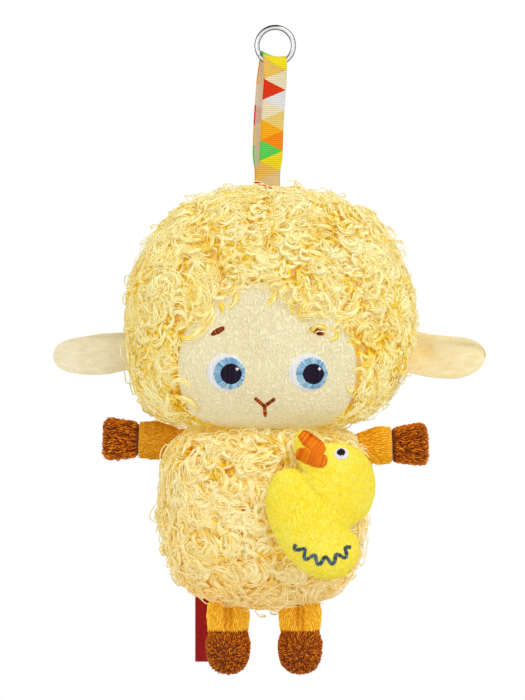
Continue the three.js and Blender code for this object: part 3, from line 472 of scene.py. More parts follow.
def form_surface(form, level, around, inset=0.0):
    """Points of a stuffed form at a level from -90 to 90 degrees and an angle round it, both as arrays."""
    power, height = power_and_height(form, level, inset)
    spread = np.abs(np.cos(level)) ** (2 / power)
    z = np.sign(level) * np.abs(np.sin(level)) ** (2 / power) * height
    plan = 2 / form["plan_power"]
    x = np.sign(np.cos(around)) * np.abs(np.cos(around)) ** plan * (form["half"][0] - inset) * spread
    y = np.sign(np.sin(around)) * np.abs(np.sin(around)) ** plan * (form["half"][1] - inset) * spread
    return np.stack([x, y, z], axis=-1)


def form_value(form, points, inset=0.0):
    """Below 1 inside a stuffed form, 1 on it; also the outward direction there. Points are from its centre."""
    power, height = power_and_height(form, points[:, 2], inset)
    plan = form["plan_power"]
    half_x, half_y = (half - inset for half in form["half"])
    half = np.stack(np.broadcast_arrays(half_x, half_y, height), axis=1)
    share = np.abs(points) / half
    flat = np.maximum(share[:, 0] ** plan + share[:, 1] ** plan, 1e-9)
    value = flat ** (power / plan) + share[:, 2] ** power
    slope = np.empty_like(points)
    for k in (0, 1):
        slope[:, k] = flat ** (power / plan - 1) * share[:, k] ** (plan - 1) / half[:, k]
    slope[:, 2] = share[:, 2] ** (power - 1) / half[:, 2]
    slope *= np.sign(points)
    slope /= np.maximum(np.linalg.norm(slope, axis=1, keepdims=True), 1e-9)
    return value, power, slope


def valley_depth(form, points):
    """How far the pile's tips lie below a form at points on it, between the clumps that the curls draw into."""
    power, height = power_and_height(form, points[:, 2])
    level = np.arcsin(np.clip(np.sign(points[:, 2]) * (np.abs(points[:, 2]) / height) ** (power / 2), -1, 1))
    plan = (np.abs(points[:, :2]) / form["half"]) ** (form["plan_power"] / 2) * np.sign(points[:, :2])
    around = np.arctan2(plan[:, 1], plan[:, 0])
    row = (level / math.pi + 0.5) * form["clump_rows"]
    column = around / (2 * math.pi) * form["clump_columns"]
    share = (1 - np.cos(math.pi * row) * np.cos(math.pi * column)) / 2
    return clump_depth * share * np.minimum(1, 2 * np.cos(level))


def form_front(form, x, z, inset):
    """How far forward a form's surface lies at x and z from its centre, as a negative y."""
    power, height = power_and_height(form, z, inset)
    plan = form["plan_power"]
    level = np.maximum(1 - (np.abs(z) / height) ** power, 0) ** (plan / power)
    across = np.maximum(level - (np.abs(x) / (form["half"][0] - inset)) ** plan, 0)
    return -(form["half"][1] - inset) * across ** (1 / plan)


def spaced_sites(form, spacing, seed, tries=90000):
    """Random places on a form, no two nearer than the spacing, with their outward directions."""
    rng = np.random.default_rng(seed)
    aim = rng.normal(size=(tries, 3))
    aim *= np.array([form["half"][0], form["half"][1], (form["rise"] + form["fall"]) / 2])
    value, power, _ = form_value(form, aim)
    points = aim * (value ** (-1 / power))[:, None]
    # Only places in the same or a neighbouring cell of a grid can be too near
    cells, kept = {}, []
    neighbours = [(dx, dy, dz) for dx in (-1, 0, 1) for dy in (-1, 0, 1) for dz in (-1, 0, 1)]
    for i, (cx, cy, cz) in enumerate(np.floor(points / spacing).astype(int)):
        px, py, pz = points[i]
        if not any(
            (px - qx) ** 2 + (py - qy) ** 2 + (pz - qz) ** 2 < spacing * spacing
            for dx, dy, dz in neighbours
            for qx, qy, qz in cells.get((cx + dx, cy + dy, cz + dz), ())
        ):
            cells.setdefault((cx, cy, cz), []).append((px, py, pz))
            kept.append(i)
    points = points[kept]
    return points, form_value(form, points)[2]


def rounded_outline(corners):
    """A closed outline along its corners, rounded by cutting them off three times over."""
    points = np.asarray(corners, float)
    for _ in range(3):
        after = np.roll(points, -1, axis=0)
        points = np.stack([0.78 * points + 0.22 * after, 0.22 * points + 0.78 * after], axis=1).reshape(-1, 2)
    return points


def inside(outline, x, z):
    """Which of the places lie inside a closed outline."""
    found = np.zeros(len(x), bool)
    ax, az = outline[:, 0], outline[:, 1]
    bx, bz = np.roll(ax, -1), np.roll(az, -1)
    for i in range(len(outline)):
        crosses = (az[i] > z) != (bz[i] > z)
        with np.errstate(divide="ignore", invalid="ignore"):
            reach = (bx[i] - ax[i]) * (z - az[i]) / (bz[i] - az[i]) + ax[i]
        found ^= crosses & (x < reach)
    return found


# The face's opening, from the chin up, in millimetres from the head's centre
face_half, face_height = 43.5, 73.6
face_shares = [(0.45, 0), (0.76, 0.08), (0.92, 0.2), (1, 0.4), (0.95, 0.62), (0.8, 0.78), (0.52, 0.92), (0.2, 0.99)]
face_right = [(face_half * a, face_height * b - head_form["fall"]) for a, b in face_shares]
face_outline = rounded_outline(face_right + [(-x, z) for x, z in reversed(face_right)]) + (face_offset, 0)


def over_face(x, y, z, size=1.0):
    """Which places lie over the face's opening, made larger or smaller about its middle."""
    middle = face_outline.mean(axis=0)
    return inside((face_outline - middle) * size + middle, x, z) & (y < face_back)


# Cross-sections of a flat lock and of a round strand, in half widths
flat_section = np.array([(-1, -0.3), (0.0, 1.0), (1, -0.3), (0.0, -0.8)])
strand_section = np.array([(-1, -0.5), (0.0, 1.0), (1, -0.5)])


def lock_shape(path, widths, thick, section=flat_section):
    """One lock or strand of pile along a path of points, drawn to a tip."""
    count = len(path)
    along = np.gradient(path, axis=0)
    along /= np.linalg.norm(along, axis=1, keepdims=True)
    ups = np.empty_like(path)
    up = np.array((0.0, 0.0, 1.0))
    for i in range(count - 1, -1, -1):
        up = up - along[i] * up.dot(along[i])
        up /= np.linalg.norm(up)
        ups[i] = up
    sides = np.cross(along, ups)
    t = np.linspace(0, 1, count)
    width = np.interp(t, np.linspace(0, 1, len(widths)), widths)[:, None]
    points = path[:, None] + sides[:, None] * (section[:, 0] * width)[..., None]
    points = points + ups[:, None] * (section[:, 1] * width * thick)[..., None]
    faces = grid_quads(count, len(section), closed=True)
    uvs = np.stack(np.broadcast_arrays(section[:, 0][None] * 0.5 + 0.5, t[:, None]), axis=-1)
    return points.reshape(-1, 3), faces, uvs.reshape(-1, 2)


def risen(share, rise, until, fall):
    """How high a curl stands along its share from root to tip: it rises soon, and droops after."""
    return rise * np.sin(np.minimum(share / until, 1) * math.pi / 2) - fall * share**2


def ringlet(radius, shrink, sweep, rise):
    """A curl that turns round like a C or a ring, seen from above."""

    def path(share):
        r = radius * (1 - shrink * share)
        x, y = r * np.cos(sweep * share) - radius, r * np.sin(sweep * share)
        return np.stack([x, y, risen(share, rise, 0.42, 1.2)], 1)

    return path


def wave(length, swing, waves, rise, phase=0.0):
    """A curl that swings from side to side like an S."""

    def path(share):
        turn = 2 * math.pi * waves * share + phase
        x = swing * (np.sin(turn) - math.sin(phase)) * (0.35 + 0.65 * share)
        return np.stack([x, length * share, risen(share, rise, 0.5, 2.2)], 1)

    return path


def hook(length, radius, sweep, rise):
    """A lock that runs straight and then curls in at its tip."""

    def path(share):
        straight = length / (length + radius * sweep)
        turn = np.maximum(share - straight, 0) / (1 - straight) * sweep
        y = length * np.minimum(share / straight, 1) + radius * np.sin(turn)
        return np.stack([radius * (1 - np.cos(turn)), y, risen(share, rise, 0.4, 1.5)], 1)

    return path


def corkscrew(length, radius, turns, rise):
    """A lock that winds about its own length."""

    def path(share):
        turn = 2 * math.pi * turns * share
        z = risen(share, rise, 0.3, 0) - radius * np.cos(turn) * np.minimum(share / 0.2, 1) - share
        return np.stack([radius * np.sin(turn), length * share, z], 1)

    return path


curls = [
    ringlet(3.9, 0.25, 4.9, 5.6),
    ringlet(3.2, 0.35, 5.6, 5.9),
    ringlet(4.8, 0.15, 3.7, 5.2),
    ringlet(2.6, 0.2, 5.2, 6.0),
    wave(13.0, 2.2, 0.95, 5.4),
    wave(11.0, 1.8, 1.2, 5.8, phase=0.8),
    wave(15.0, 2.8, 0.75, 5.2, phase=-0.5),
    hook(5.0, 3.0, 3.9, 5.6),
    hook(7.0, 2.2, 4.4, 5.4),
    hook(4.0, 4.2, 3.0, 5.8),
    corkscrew(9.0, 1.4, 1.6, 4.2),
]
lock_width, strand_width = 1.2, 0.24
lock_taper = np.array((0.8, 1.0, 0.9, 0.6, 0.05))
strand_taper = np.array((0.8, 1.0, 1.0, 0.85, 0.1))
lock_shapes = [lock_shape(path(np.linspace(0, 0.94, 7)), lock_width * lock_taper, 0.4) for path in curls]
lock_shapes += [
    lock_shape(path(np.linspace(0.1, 1, 8)), strand_width * strand_taper, 0.95, strand_section) for path in curls
]
lock_shapes += [lock_shape(path(np.linspace(0, 0.8, 5)), lock_width * lock_taper, 0.4) for path in curls]


def across_directions(out, turn):
    """Two directions along the surface for each outward one; the second points down, turned by an angle."""
    down = np.array((0.0, 0.0, -1.0)) - out * (-out[:, 2])[:, None]
    weak = np.linalg.norm(down, axis=1) < 0.15
    down[weak] = np.cross(out[weak], (1.0, 0.0, 0.0))
    down /= np.linalg.norm(down, axis=1, keepdims=True)
    side = np.cross(down, out)
    cosine, sine = np.cos(turn)[:, None], np.sin(turn)[:, None]
    return side * cosine - down * sine, down * cosine + side * sine


def planted(name, shapes, kinds, sites, out, side, forward, size, lift, tint, depth_top, bend=0.0):
    """One mesh of many copies of a few shapes, each standing at its own site."""
    points, faces, uvs, depths, tints = [], [], [], [], []
    total = 0
    mirrored = np.einsum("ij,ij->i", np.cross(side, forward), out) < 0
    for kind, (shape, quads, uv) in enumerate(shapes):
        use = np.nonzero(kinds == kind)[0]
        local = shape[None] * size[use][:, None, None]
        height = local[..., 2] * lift[use][:, None] - (local[..., 0] ** 2 + local[..., 1] ** 2) * bend / 2
        placed = (
            sites[use][:, None]
            + local[..., 0:1] * side[use][:, None]
            + local[..., 1:2] * forward[use][:, None]
            + height[..., None] * out[use][:, None]
        )
        points.append(placed.reshape(-1, 3))
        starts = total + np.arange(len(use)) * len(shape)
        outward = np.where(mirrored[use][:, None, None], quads[None, :, ::-1], quads[None])
        faces.append((outward + starts[:, None, None]).reshape(-1, 4))
        uvs.append(np.broadcast_to(uv, (len(use), *uv.shape)).reshape(-1, 2))
        depths.append(np.clip(local[..., 2] / depth_top, 0, 1).ravel())
        tints.append(np.broadcast_to(tint[use][:, None], placed.shape[:2]).ravel())
        total += placed.shape[0] * placed.shape[1]
    points, faces, uvs, depths, tints = (np.concatenate(part) for part in (points, faces, uvs, depths, tints))
    return mesh_piece(name, points, faces, uvs, {"depth": depths, "tint": tints})


# Shader group for pile drawn along V of the UV map: fine strands side by side, with so many across and along
strand_group = bpy.data.node_groups.new("pile_strands", "ShaderNodeTree")
for socket_name, kind in (("Vector", "Vector"), ("Across", "Float"), ("Along", "Float")):
    strand_group.interface.new_socket(socket_name, in_out="INPUT", socket_type=f"NodeSocket{kind}")
strand_group.interface.new_socket("Strand", in_out="OUTPUT", socket_type="NodeSocketFloat")
given = strand_group.nodes.new("NodeGroupInput").outputs
strand_scale = node(strand_group, "ShaderNodeCombineXYZ", {0: given["Across"], 1: given["Along"]})
drawn_out = node(strand_group, "ShaderNodeVectorMath", {0: given["Vector"], 1: strand_scale}, operation="MULTIPLY")
strand_noise = noise(strand_group, drawn_out, 1.0, 3, 0.6)
wired(strand_group, strand_group.nodes.new("NodeGroupOutput"), {"Strand": strand_noise})


def pile_strands(tree, across, along):
    inputs = {"Vector": uv_map(tree), "Across": across, "Along": along}
    return node(tree, "ShaderNodeGroup", inputs, "Strand", node_tree=strand_group)


def tinted(tree, share, colour, tint):
    """A colour multiplied by a tint, by a share of 0 to 1."""
    return mixed(tree, share, colour, mixed(tree, 1.0, colour, tint, "MULTIPLY"))


def curly_pile(name, root, low, middle, tip, warm, shade_below=-1.0):
    """Locks of pile: dark at the root and pale at the tip, the pile's yellow with painted shade deep in it and
    painted highlight at its tips, and strands side by side across each lock.
    """
    material, tree, shader = new_material(name)
    strand = pile_strands(tree, 14.0, 1.2)
    tint = maths(tree, "SUBTRACT", value_of(tree, "tint"), 0.5)
    # Painted shade and highlight: the deeper in the pile, the darker, and the nearer the tip, the paler
    level = maths(tree, "MULTIPLY_ADD", tint, 0.44, value_of(tree, "depth"))
    level = maths(tree, "ADD", level, about_half(tree, strand, 0.9))
    colour = ramp(tree, level, [(0.0, root), (0.3, low), (0.62, middle), (0.95, tip)])
    place = object_place(tree)
    warmth = ramp(tree, noise(tree, place, 62.0, 3, 0.55), [(0.42, (0, 0, 0)), (0.66, (1, 1, 1))])
    colour = tinted(tree, maths(tree, "MULTIPLY", warmth, 0.45), colour, warm)
    # Painted shade: below a height the pile is a little browner, as the lower body lies in shade
    lower = maths(tree, "MULTIPLY", maths(tree, "SUBTRACT", shade_below, split_up(tree, place)["Z"]), 34.0)
    lower = maths(tree, "MINIMUM", maths(tree, "MAXIMUM", lower, 0.0), 0.75)
    colour = tinted(tree, lower, colour, (0.96, 0.84, 0.66))
    wired(tree, shader, {
        "Base Color": colour,
        "Roughness": 0.62,
        "Sheen Weight": 0.15,
        "Sheen Roughness": 0.4,
        "Sheen Tint": (1.0, 0.88, 0.55, 1),
        "Specular IOR Level": 0.25,
        # Painted light: the pile glows a little in its own yellow, standing in for light passing through the fine
        # pale pile, and lifts its shadows
        "Emission Color": mixed(tree, 1.0, colour, (1.0, 0.86, 0.4), "MULTIPLY"),
        "Emission Strength": 0.175,
        "Normal": raised(tree, strand, 0.00004, 0.4),
    })
    return material


head_pile = curly_pile(
    "head_curly_pile",
    root=srgb(226, 180, 0),
    low=srgb(239, 200, 22),
    middle=srgb(245, 217, 60),
    tip=srgb(249, 242, 196),
    warm=(1.0, 0.94, 0.66),
)


def knitted_backing(name, deep, light, painted_glow=0.0):
    """The knit that the pile is fixed in, covered by the pile's swirled and tufted roots."""
    material, tree, shader = new_material(name)
    place = object_place(tree)
    tuft = noise(tree, place, 900.0, 3, 0.6)
    swirl = noise(tree, place, 240.0, 4, 0.65)
    level = maths(tree, "MULTIPLY_ADD", tuft, 0.5, maths(tree, "MULTIPLY", swirl, 0.5))
    wired(tree, shader, {
        "Base Color": ramp(tree, level, [(0.35, deep), (0.65, light)]),
        "Roughness": 0.9,
        # Painted light: the backing glows a little in its light colour, lifting the shade between the locks
        "Emission Color": (*light, 1),
        "Emission Strength": painted_glow,
        "Normal": raised(tree, swirl, 0.0012, 0.8),
    })
    return material


fur_backing = knitted_backing("fur_backing", srgb(234, 192, 92), srgb(250, 220, 136), 0.26)


def fur_backing_shell(name, form, keep, level_steps, around_steps):
    """The knitted backing under the pile: a thin shell of the form, open where keep says no."""
    wall = 0.9
    pole_gap = 0.012
    level = np.linspace(-math.pi / 2 + pole_gap, math.pi / 2 - pole_gap, level_steps)
    around = np.linspace(0, 2 * math.pi, around_steps, endpoint=False)
    level, around = np.meshgrid(level, around, indexing="ij")
    outer, inner = (form_surface(form, level, around, pile_height + d).reshape(-1, 3) for d in (0, wall))
    quads = grid_quads(level_steps, around_steps, closed=True)
    quads = quads[keep(outer[quads].mean(axis=1))]
    # A side that only one quad has lies on the rim of an opening, and gets a wall from outer to inner
    edges = np.concatenate([quads[:, [0, 1]], quads[:, [1, 2]], quads[:, [2, 3]], quads[:, [3, 0]]])
    used = dict.fromkeys(map(tuple, edges.tolist()))
    n = len(outer)
    walls = [(b, a, a + n, b + n) for a, b in used if (b, a) not in used]
    points = np.concatenate([outer, inner]) + form["centre"]
    faces = np.concatenate([quads, quads[:, ::-1] + n, np.array(walls)])
    kept, faces = np.unique(faces, return_inverse=True)
    return mesh_piece(name, points[kept], faces.reshape(-1, 4), np.zeros((len(kept), 2)))


def head_open(points):
    """Where the head has no fur: the face, the neck, the ribbon's slot and the ears' slots."""
    x, y, z = points.T
    ribbon_slot = (np.abs(x + 1) < 6.6) & (np.abs(y) < 2.6) & (z > 40)
    ear_slots = (np.abs(x) > 55) & (np.abs(z - ear_level) < 11.2) & (np.abs(y) < 4.6)
    return over_face(x, y, z, 0.92) | (z < neck_level) | ribbon_slot | ear_slots


def head_curls_closed(points):
    """Curls also close the neck, where the backing's pile meets the body's."""
    x, y, z = points.T
    face = over_face(x, y, z)
    # Curls fall over the upper corners of the face, further on the right
    fringe_left, fringe_right = inside(face_outline + (2.4, 0), x, z), inside(face_outline - (7.5, 0), x, z)
    fringe = (z > -12) & ~(fringe_left & fringe_right)
    return face & ~fringe | head_open(points) & ~(z < neck_level) & ~face


head_backing = fur_backing_shell("head_backing", head_form, lambda points: ~head_open(points), 72, 144)
finished(head_backing, fur_backing, "curly_fur", "head", "head_fur_cover", fill=0.9)


def clouds(points, wavelength, seed):
    """A smooth random value from -1 to 1 at each point, changing over about a wavelength."""
    rng = np.random.default_rng(seed)
    total = np.zeros(len(points))
    for _ in range(7):
        aim = rng.normal(size=3)
        aim *= 2 * math.pi / wavelength / np.linalg.norm(aim)
        total += np.cos(points @ aim + rng.uniform(0, 2 * math.pi))
    return np.clip(total / 3.2, -1, 1)


def grow_fur(prefix, form, body, node_name, seed, closed_here, material, split, scale, trim):
    """Covers a form with locks, each with a few strands that follow it loosely, in several meshes round its axis."""
    spacing, strands_each = 2.9, 5
    rng = np.random.default_rng(seed)
    sites, out = spaced_sites(form, spacing, seed)
    keep = ~closed_here(sites)
    sites, out = sites[keep], out[keep]
    count = len(sites)
    valley = valley_depth(form, sites)

    # Neighbours in a clump mostly curl the same way
    middles = sites[rng.permutation(count)[: count // 10]]
    clumps = len(middles)
    member = np.array([np.argmin(((middles - site) ** 2).sum(axis=1)) for site in sites])
    alike = rng.uniform(size=count) < 0.72

    def shared(own, of_clump):
        return np.where(alike, of_clump[member], own)

    under_kinds = rng.integers(0, len(curls), count)
    lock_kinds = shared(rng.integers(0, len(curls), count), rng.integers(0, len(curls), clumps))
    flip = shared(rng.choice((-1, 1), count), rng.choice((-1, 1), clumps))
    lock_turn = 2.6 * clouds(sites, 34.0, seed + 1)
    lock_turn = lock_turn + shared(rng.normal(0, 1.0, count), rng.normal(0, 0.8, clumps)) + rng.normal(0, 0.22, count)
    lock_size = scale * shared(rng.uniform(0.75, 1.1, count), rng.uniform(0.85, 1.2, clumps))
    lock_lift = (1.08 - 0.8 * valley / pile_height + rng.uniform(-0.1, 0.1, count)) / lock_size
    # Clumps are lighter or darker at random, and locks in the valleys between clumps get painted shade
    lock_tint = 0.66 + 0.34 * clouds(sites, 12.0, seed + 2) - 0.16 * valley + rng.uniform(-0.24, 0.24, count)

    # Under each lock lies a low one at any angle; strands repeat the lock side by side, and the last of them strays
    every = np.arange(count)
    owner = np.concatenate([every, every, np.repeat(every, strands_each)])
    order = np.concatenate([np.full(count, -2), np.full(count, -1), np.tile(np.arange(strands_each), count)])
    total = len(owner)
    is_under, is_strand, stray = order == -2, order >= 0, order == strands_each - 1
    loose = np.where(stray, 1.0, np.where(is_strand, 0.16, 0.0))
    beside = np.where(is_strand & ~stray, (order - (strands_each - 2) / 2) * 0.46, 0.0)
    turn = np.where(is_under, rng.uniform(0, 2 * math.pi, total), lock_turn[owner])
    turn += loose * rng.normal(0, 0.5, total)
    side, forward = across_directions(out[owner], turn)
    side *= flip[owner][:, None]
    apart = beside + loose * rng.uniform(-1.5, 1.5, total)
    ahead = loose * rng.uniform(-1.2, 1.2, total)
    roots = sites[owner] - out[owner] * pile_height + (side * apart[:, None] + forward * ahead[:, None])
    size = lock_size[owner] * (1 + beside * 0.2 + loose * rng.uniform(-0.2, 0.25, total))
    loop = stray & (rng.uniform(size=total) < 0.22)
    taller = 1 + is_strand * 0.07 - np.abs(beside) * 0.05 + loose * rng.uniform(0.0, 0.15, total)
    lift = lock_lift[owner] * taller
    lift *= lock_size[owner] / size * np.where(loop, rng.uniform(1.15, 1.5, total), 1.0)
    lift *= np.where(is_under, 0.72, 1.0)
    # Painted shade: the low locks that lie under the others are darker
    tint = lock_tint[owner] - 0.2 * is_under + is_strand * rng.uniform(-0.35, 0.9, total)
    leaning = rng.normal(0, 0.12, (count, 3))
    tilted = out[owner] + leaning[owner] + loose[:, None] * rng.normal(0, 0.12, (total, 3))
    tilted /= np.linalg.norm(tilted, axis=1, keepdims=True)
    size, lift, keep = trim(sites[owner], out[owner], forward, size, lift)
    strand_kinds, under_kinds = lock_kinds[owner] + len(curls), under_kinds[owner] + 2 * len(curls)
    kinds = np.select([is_strand, is_under], [strand_kinds, under_kinds], lock_kinds[owner])
    azimuth = np.arctan2(sites[owner, 1], sites[owner, 0]) + math.pi
    wedge = (azimuth / (2 * math.pi) * split).astype(int) % split
    for part in range(split):
        use = np.nonzero(keep & (wedge == part))[0]
        piece = planted(
            f"{prefix}_curls_{part + 1}",
            lock_shapes,
            kinds[use],
            roots[use] + np.array(form["centre"]),
            tilted[use],
            side[use],
            forward[use],
            size[use],
            lift[use],
            tint[use],
            bend=1 / 58,
            depth_top=pile_height,
        )
        finished(piece, material, "curly_fur", body, node_name)


def head_curl_trim(sites, out, forward, size, lift):
    """Locks beside the ears stay lower, and those at the lower cheeks lie away from the face."""
    x, y, z = sites.T
    tip_x, tip_y, tip_z = (sites + forward * (8 * size)[:, None]).T
    keep = ~(over_face(tip_x, tip_y, tip_z, 1.05) & (z < -16))
    near_ear = (np.abs(x) > ear_root) & (np.abs(z - ear_level) < 13) & (np.abs(y) < 7)
    lift = np.where(near_ear, lift * 0.8, lift)
    size = np.where(z < -50, size * 0.8, size)
    lift = np.where(z < neck_level + 1, lift * 0.62, lift)
    return size, shaped(lift, size, sites, out, head_shaping), keep


def shaped(lift, size, sites, out, places):
    """Raises or lowers the pile round places near the front outline, by so many millimetres."""
    beside = np.maximum(0, 1 - np.abs(out[:, 1]) * 1.3)
    for x, z, spread, more in places:
        near = np.exp(-((sites[:, 0] - x) ** 2 + (sites[:, 2] - z) ** 2) / spread**2)
        lift = lift + more * near * beside / (pile_height * size)
    return np.maximum(lift, 0.2)


# Where the pile stands higher or lower: (x, z, spread, millimetres)
head_shaping = [(66, -40, 15, -5.0), (56, -52, 11, -2.0), (-66, -36, 14, 1.0), (-57, -51, 12, 2.4)]
head_shaping += [(-57, 37, 15, -1.2), (-36, 55, 13, 1.6), (44, 50, 14, 2.6), (66, 16, 15, -2.2)]
head_shaping += [(-68, 2, 14, -2.0), (-66, 26, 13, -2.2), (60, 36, 11, -1.2)]
grow_fur("head", head_form, "head", "head_fur_cover", 11, head_curls_closed, head_pile, 8, 1.04, head_curl_trim)

# Face panel
# Short cream velour, cut in one with a chin dart and sewn into the opening of the head's cover.
# It is drawn in a little by the mouth's stitches and round the eyes.
head_centre = np.array(head_form["centre"])
eye_spread, eye_level = 19.4, -29.8


def face_dimples(x, z):
    """How far the face is drawn in at a place, in millimetres."""
    away = x - face_offset
    mouth = np.exp(-(away**2 / 42 + (z + 45.5) ** 2 / 30))
    eyes = sum(0.3 * np.exp(-((away - side * eye_spread) ** 2 + (z - eye_level) ** 2) / 130) for side in (-1, 1))
    cheeks = sum(0.55 * np.exp(-((away - side * 15) ** 2 / 60 + (z + 47) ** 2 / 34)) for side in (-1, 1))
    return mouth + eyes - cheeks


def on_face(x, z, above=0.0):
    """A point on the face at x and z from the head's centre, raised above the velour."""
    x, z = np.asarray(x, float), np.asarray(z, float)
    y = form_front(head_form, x, z, face_sink) + face_dimples(x, z) - above
    return np.stack([x, y, z], axis=-1) + head_centre


def over(surface, more):
    """A surface raised by so many millimetres, for stitches that lie on others."""
    return lambda x, z, above: surface(x, z, above + more)


def wrapped_places(outline, steps, from_point, inset):
    """Rings of points from the middle of the face to its outline, along the head's surface."""
    x, z = outline.T
    y = form_front(head_form, x, z, inset)
    # Where the outline would pass behind the opening's back, it stays there and follows the head's underside
    behind = ~(y < face_back)
    plan, power = head_form["plan_power"], head_form["fall_power"]
    half_x, half_y = (half - inset for half in head_form["half"])
    flat = (np.abs(x) / half_x) ** plan + (-face_back / half_y) ** plan
    low = -(head_form["fall"] - inset) * np.maximum(1 - flat ** (power / plan), 0) ** (1 / power)
    z = np.where(behind, low, z)
    y = np.where(behind, face_back, y)
    rim = np.stack([x, y, z], axis=1) - from_point
    rim_slope = rim[:, [0, 2]] / -rim[:, 1:2]
    share = np.linspace(0, 1, steps)[1:] ** 0.9
    middle = np.array((0.0, 0.2))
    slopes = middle + (rim_slope - middle)[None] * share[:, None, None]
    aim = np.stack([slopes[..., 0], -np.ones(slopes.shape[:2]), slopes[..., 1]], axis=-1).reshape(-1, 3)
    # Halving each ray's reach again and again finds where it meets the surface
    near, far = np.zeros(len(aim)), np.full(len(aim), 120.0)
    for _ in range(40):
        try_at = (near + far) / 2
        value, _, _ = form_value(head_form, from_point + aim * try_at[:, None], inset)
        near = np.where(value < 1, try_at, near)
        far = np.where(value < 1, far, try_at)
    return (from_point + aim * near[:, None]).reshape(len(share), -1, 3)


face_steps, face_wall, rim_from = 40, 1.3, 0.93
face_grid = wrapped_places(face_outline, face_steps, np.array((face_offset, 10.0, -15.0)), face_sink)
face_rings, face_around = face_grid.shape[:2]
places = face_grid.reshape(-1, 3)
_, _, face_out = form_value(head_form, places, face_sink)
ring_share = np.repeat(np.arange(1, face_rings + 1) / face_rings, face_around)
rounding = 1.1 * np.maximum((ring_share - rim_from) / (1 - rim_from), 0) ** 2
drawn_in = face_dimples(places[:, 0], places[:, 2]) * (ring_share < 0.97)
places = places - face_out * (rounding + drawn_in)[:, None]
inner = places - face_out * face_wall
face_middles = [side[:face_around].mean(axis=0)[None] for side in (places, inner)]
n = len(places)
quads = grid_quads(face_rings, face_around, closed=True)
rim = (face_rings - 1) * face_around + np.arange(face_around)
rim_next = np.roll(rim, -1)
walls = np.stack([rim, rim_next, rim_next + n, rim + n], axis=1)
turns = np.arange(0, face_around, 2)
third = (turns + 2) % face_around
fan = np.stack([turns, turns + 1, third, np.full(len(turns), 2 * n)], axis=1)
fan_inner = np.stack([third + n, turns + 1 + n, turns + n, np.full(len(turns), 2 * n + 1)], axis=1)
face_points = np.concatenate([places, inner, *face_middles]) + head_centre
face_faces = np.concatenate([quads, quads[:, ::-1] + n, walls[:, ::-1], fan[:, ::-1], fan_inner[:, ::-1]])
face_panel = mesh_piece("face_velour", face_points, face_faces, face_points[:, [0, 2]] / 100)
facing_outwards(face_panel)


def velour(name, deep, middle, light, streak=(150, 420, 150), streak_share=0.5, crinkle=0.0, painted_glow=0.06, shades=()):
    """Short velour: fine pile ends, streaks of brushed nap, and a crinkle of little worm-like ridges."""
    material, tree, shader = new_material(name)
    place = object_place(tree)
    pile = noise(tree, place, 1400.0, 3, 0.65)
    nap = noise(tree, stretched(tree, place, streak, turn=0.35), 1.0, 4, 0.6)
    broad = noise(tree, place, 42.0, 3, 0.5)
    worms = noise(tree, stretched(tree, place, (720, 720, 360)), 1.0, 1.5, 0.4)
    ridge = maths(tree, "MINIMUM", maths(tree, "ABSOLUTE", maths(tree, "SUBTRACT", worms, 0.5)), 0.16)
    level = maths(tree, "MULTIPLY_ADD", nap, streak_share, maths(tree, "MULTIPLY", pile, 0.7 - streak_share * 0.5))
    level = maths(tree, "MULTIPLY_ADD", broad, 0.25, level)
    # Painted shade and light of the crinkle's ridges, in the colour as well as in the bump
    level = maths(tree, "MULTIPLY_ADD", ridge, crinkle * 0.4, level)
    colour = ramp(tree, level, [(0.36, deep), (0.52, middle), (0.72, light)])
    for where, shade in shades:
        colour = tinted(tree, value_of(tree, where), colour, shade)
    height = maths(tree, "MULTIPLY_ADD", ridge, crinkle * 4.5, maths(tree, "MULTIPLY_ADD", nap, 0.7, pile))
    wired(tree, shader, {
        "Base Color": colour,
        "Roughness": 0.85,
        "Sheen Weight": 0.2,
        "Sheen Roughness": 0.45,
        "Sheen Tint": (*light, 1),
        "Specular IOR Level": 0.2,
        # Painted light: the velour glows a little in its own colour, which lifts its shading
        "Emission Color": colour,
        "Emission Strength": painted_glow,
        "Normal": raised(tree, height, 0.00035, 0.8),
    })
    return material


cream_velour = velour(
    "cream_velour",
    deep=srgb(200, 187, 142),
    middle=srgb(214, 202, 160),
    light=srgb(227, 218, 182),
    streak=(420, 420, 330),
    streak_share=0.3,
    crinkle=2.3,
    painted_glow=0.34,
)
finished(face_panel, cream_velour, "cream_velour", "head", "face_panel")

# Face embroidery
# Machine satin stitch in rayon thread through the velour: each eye a white, an iris, a pupil and one glint.
# The brows and the Y of the nose and mouth are brown thread with some orange showing through.


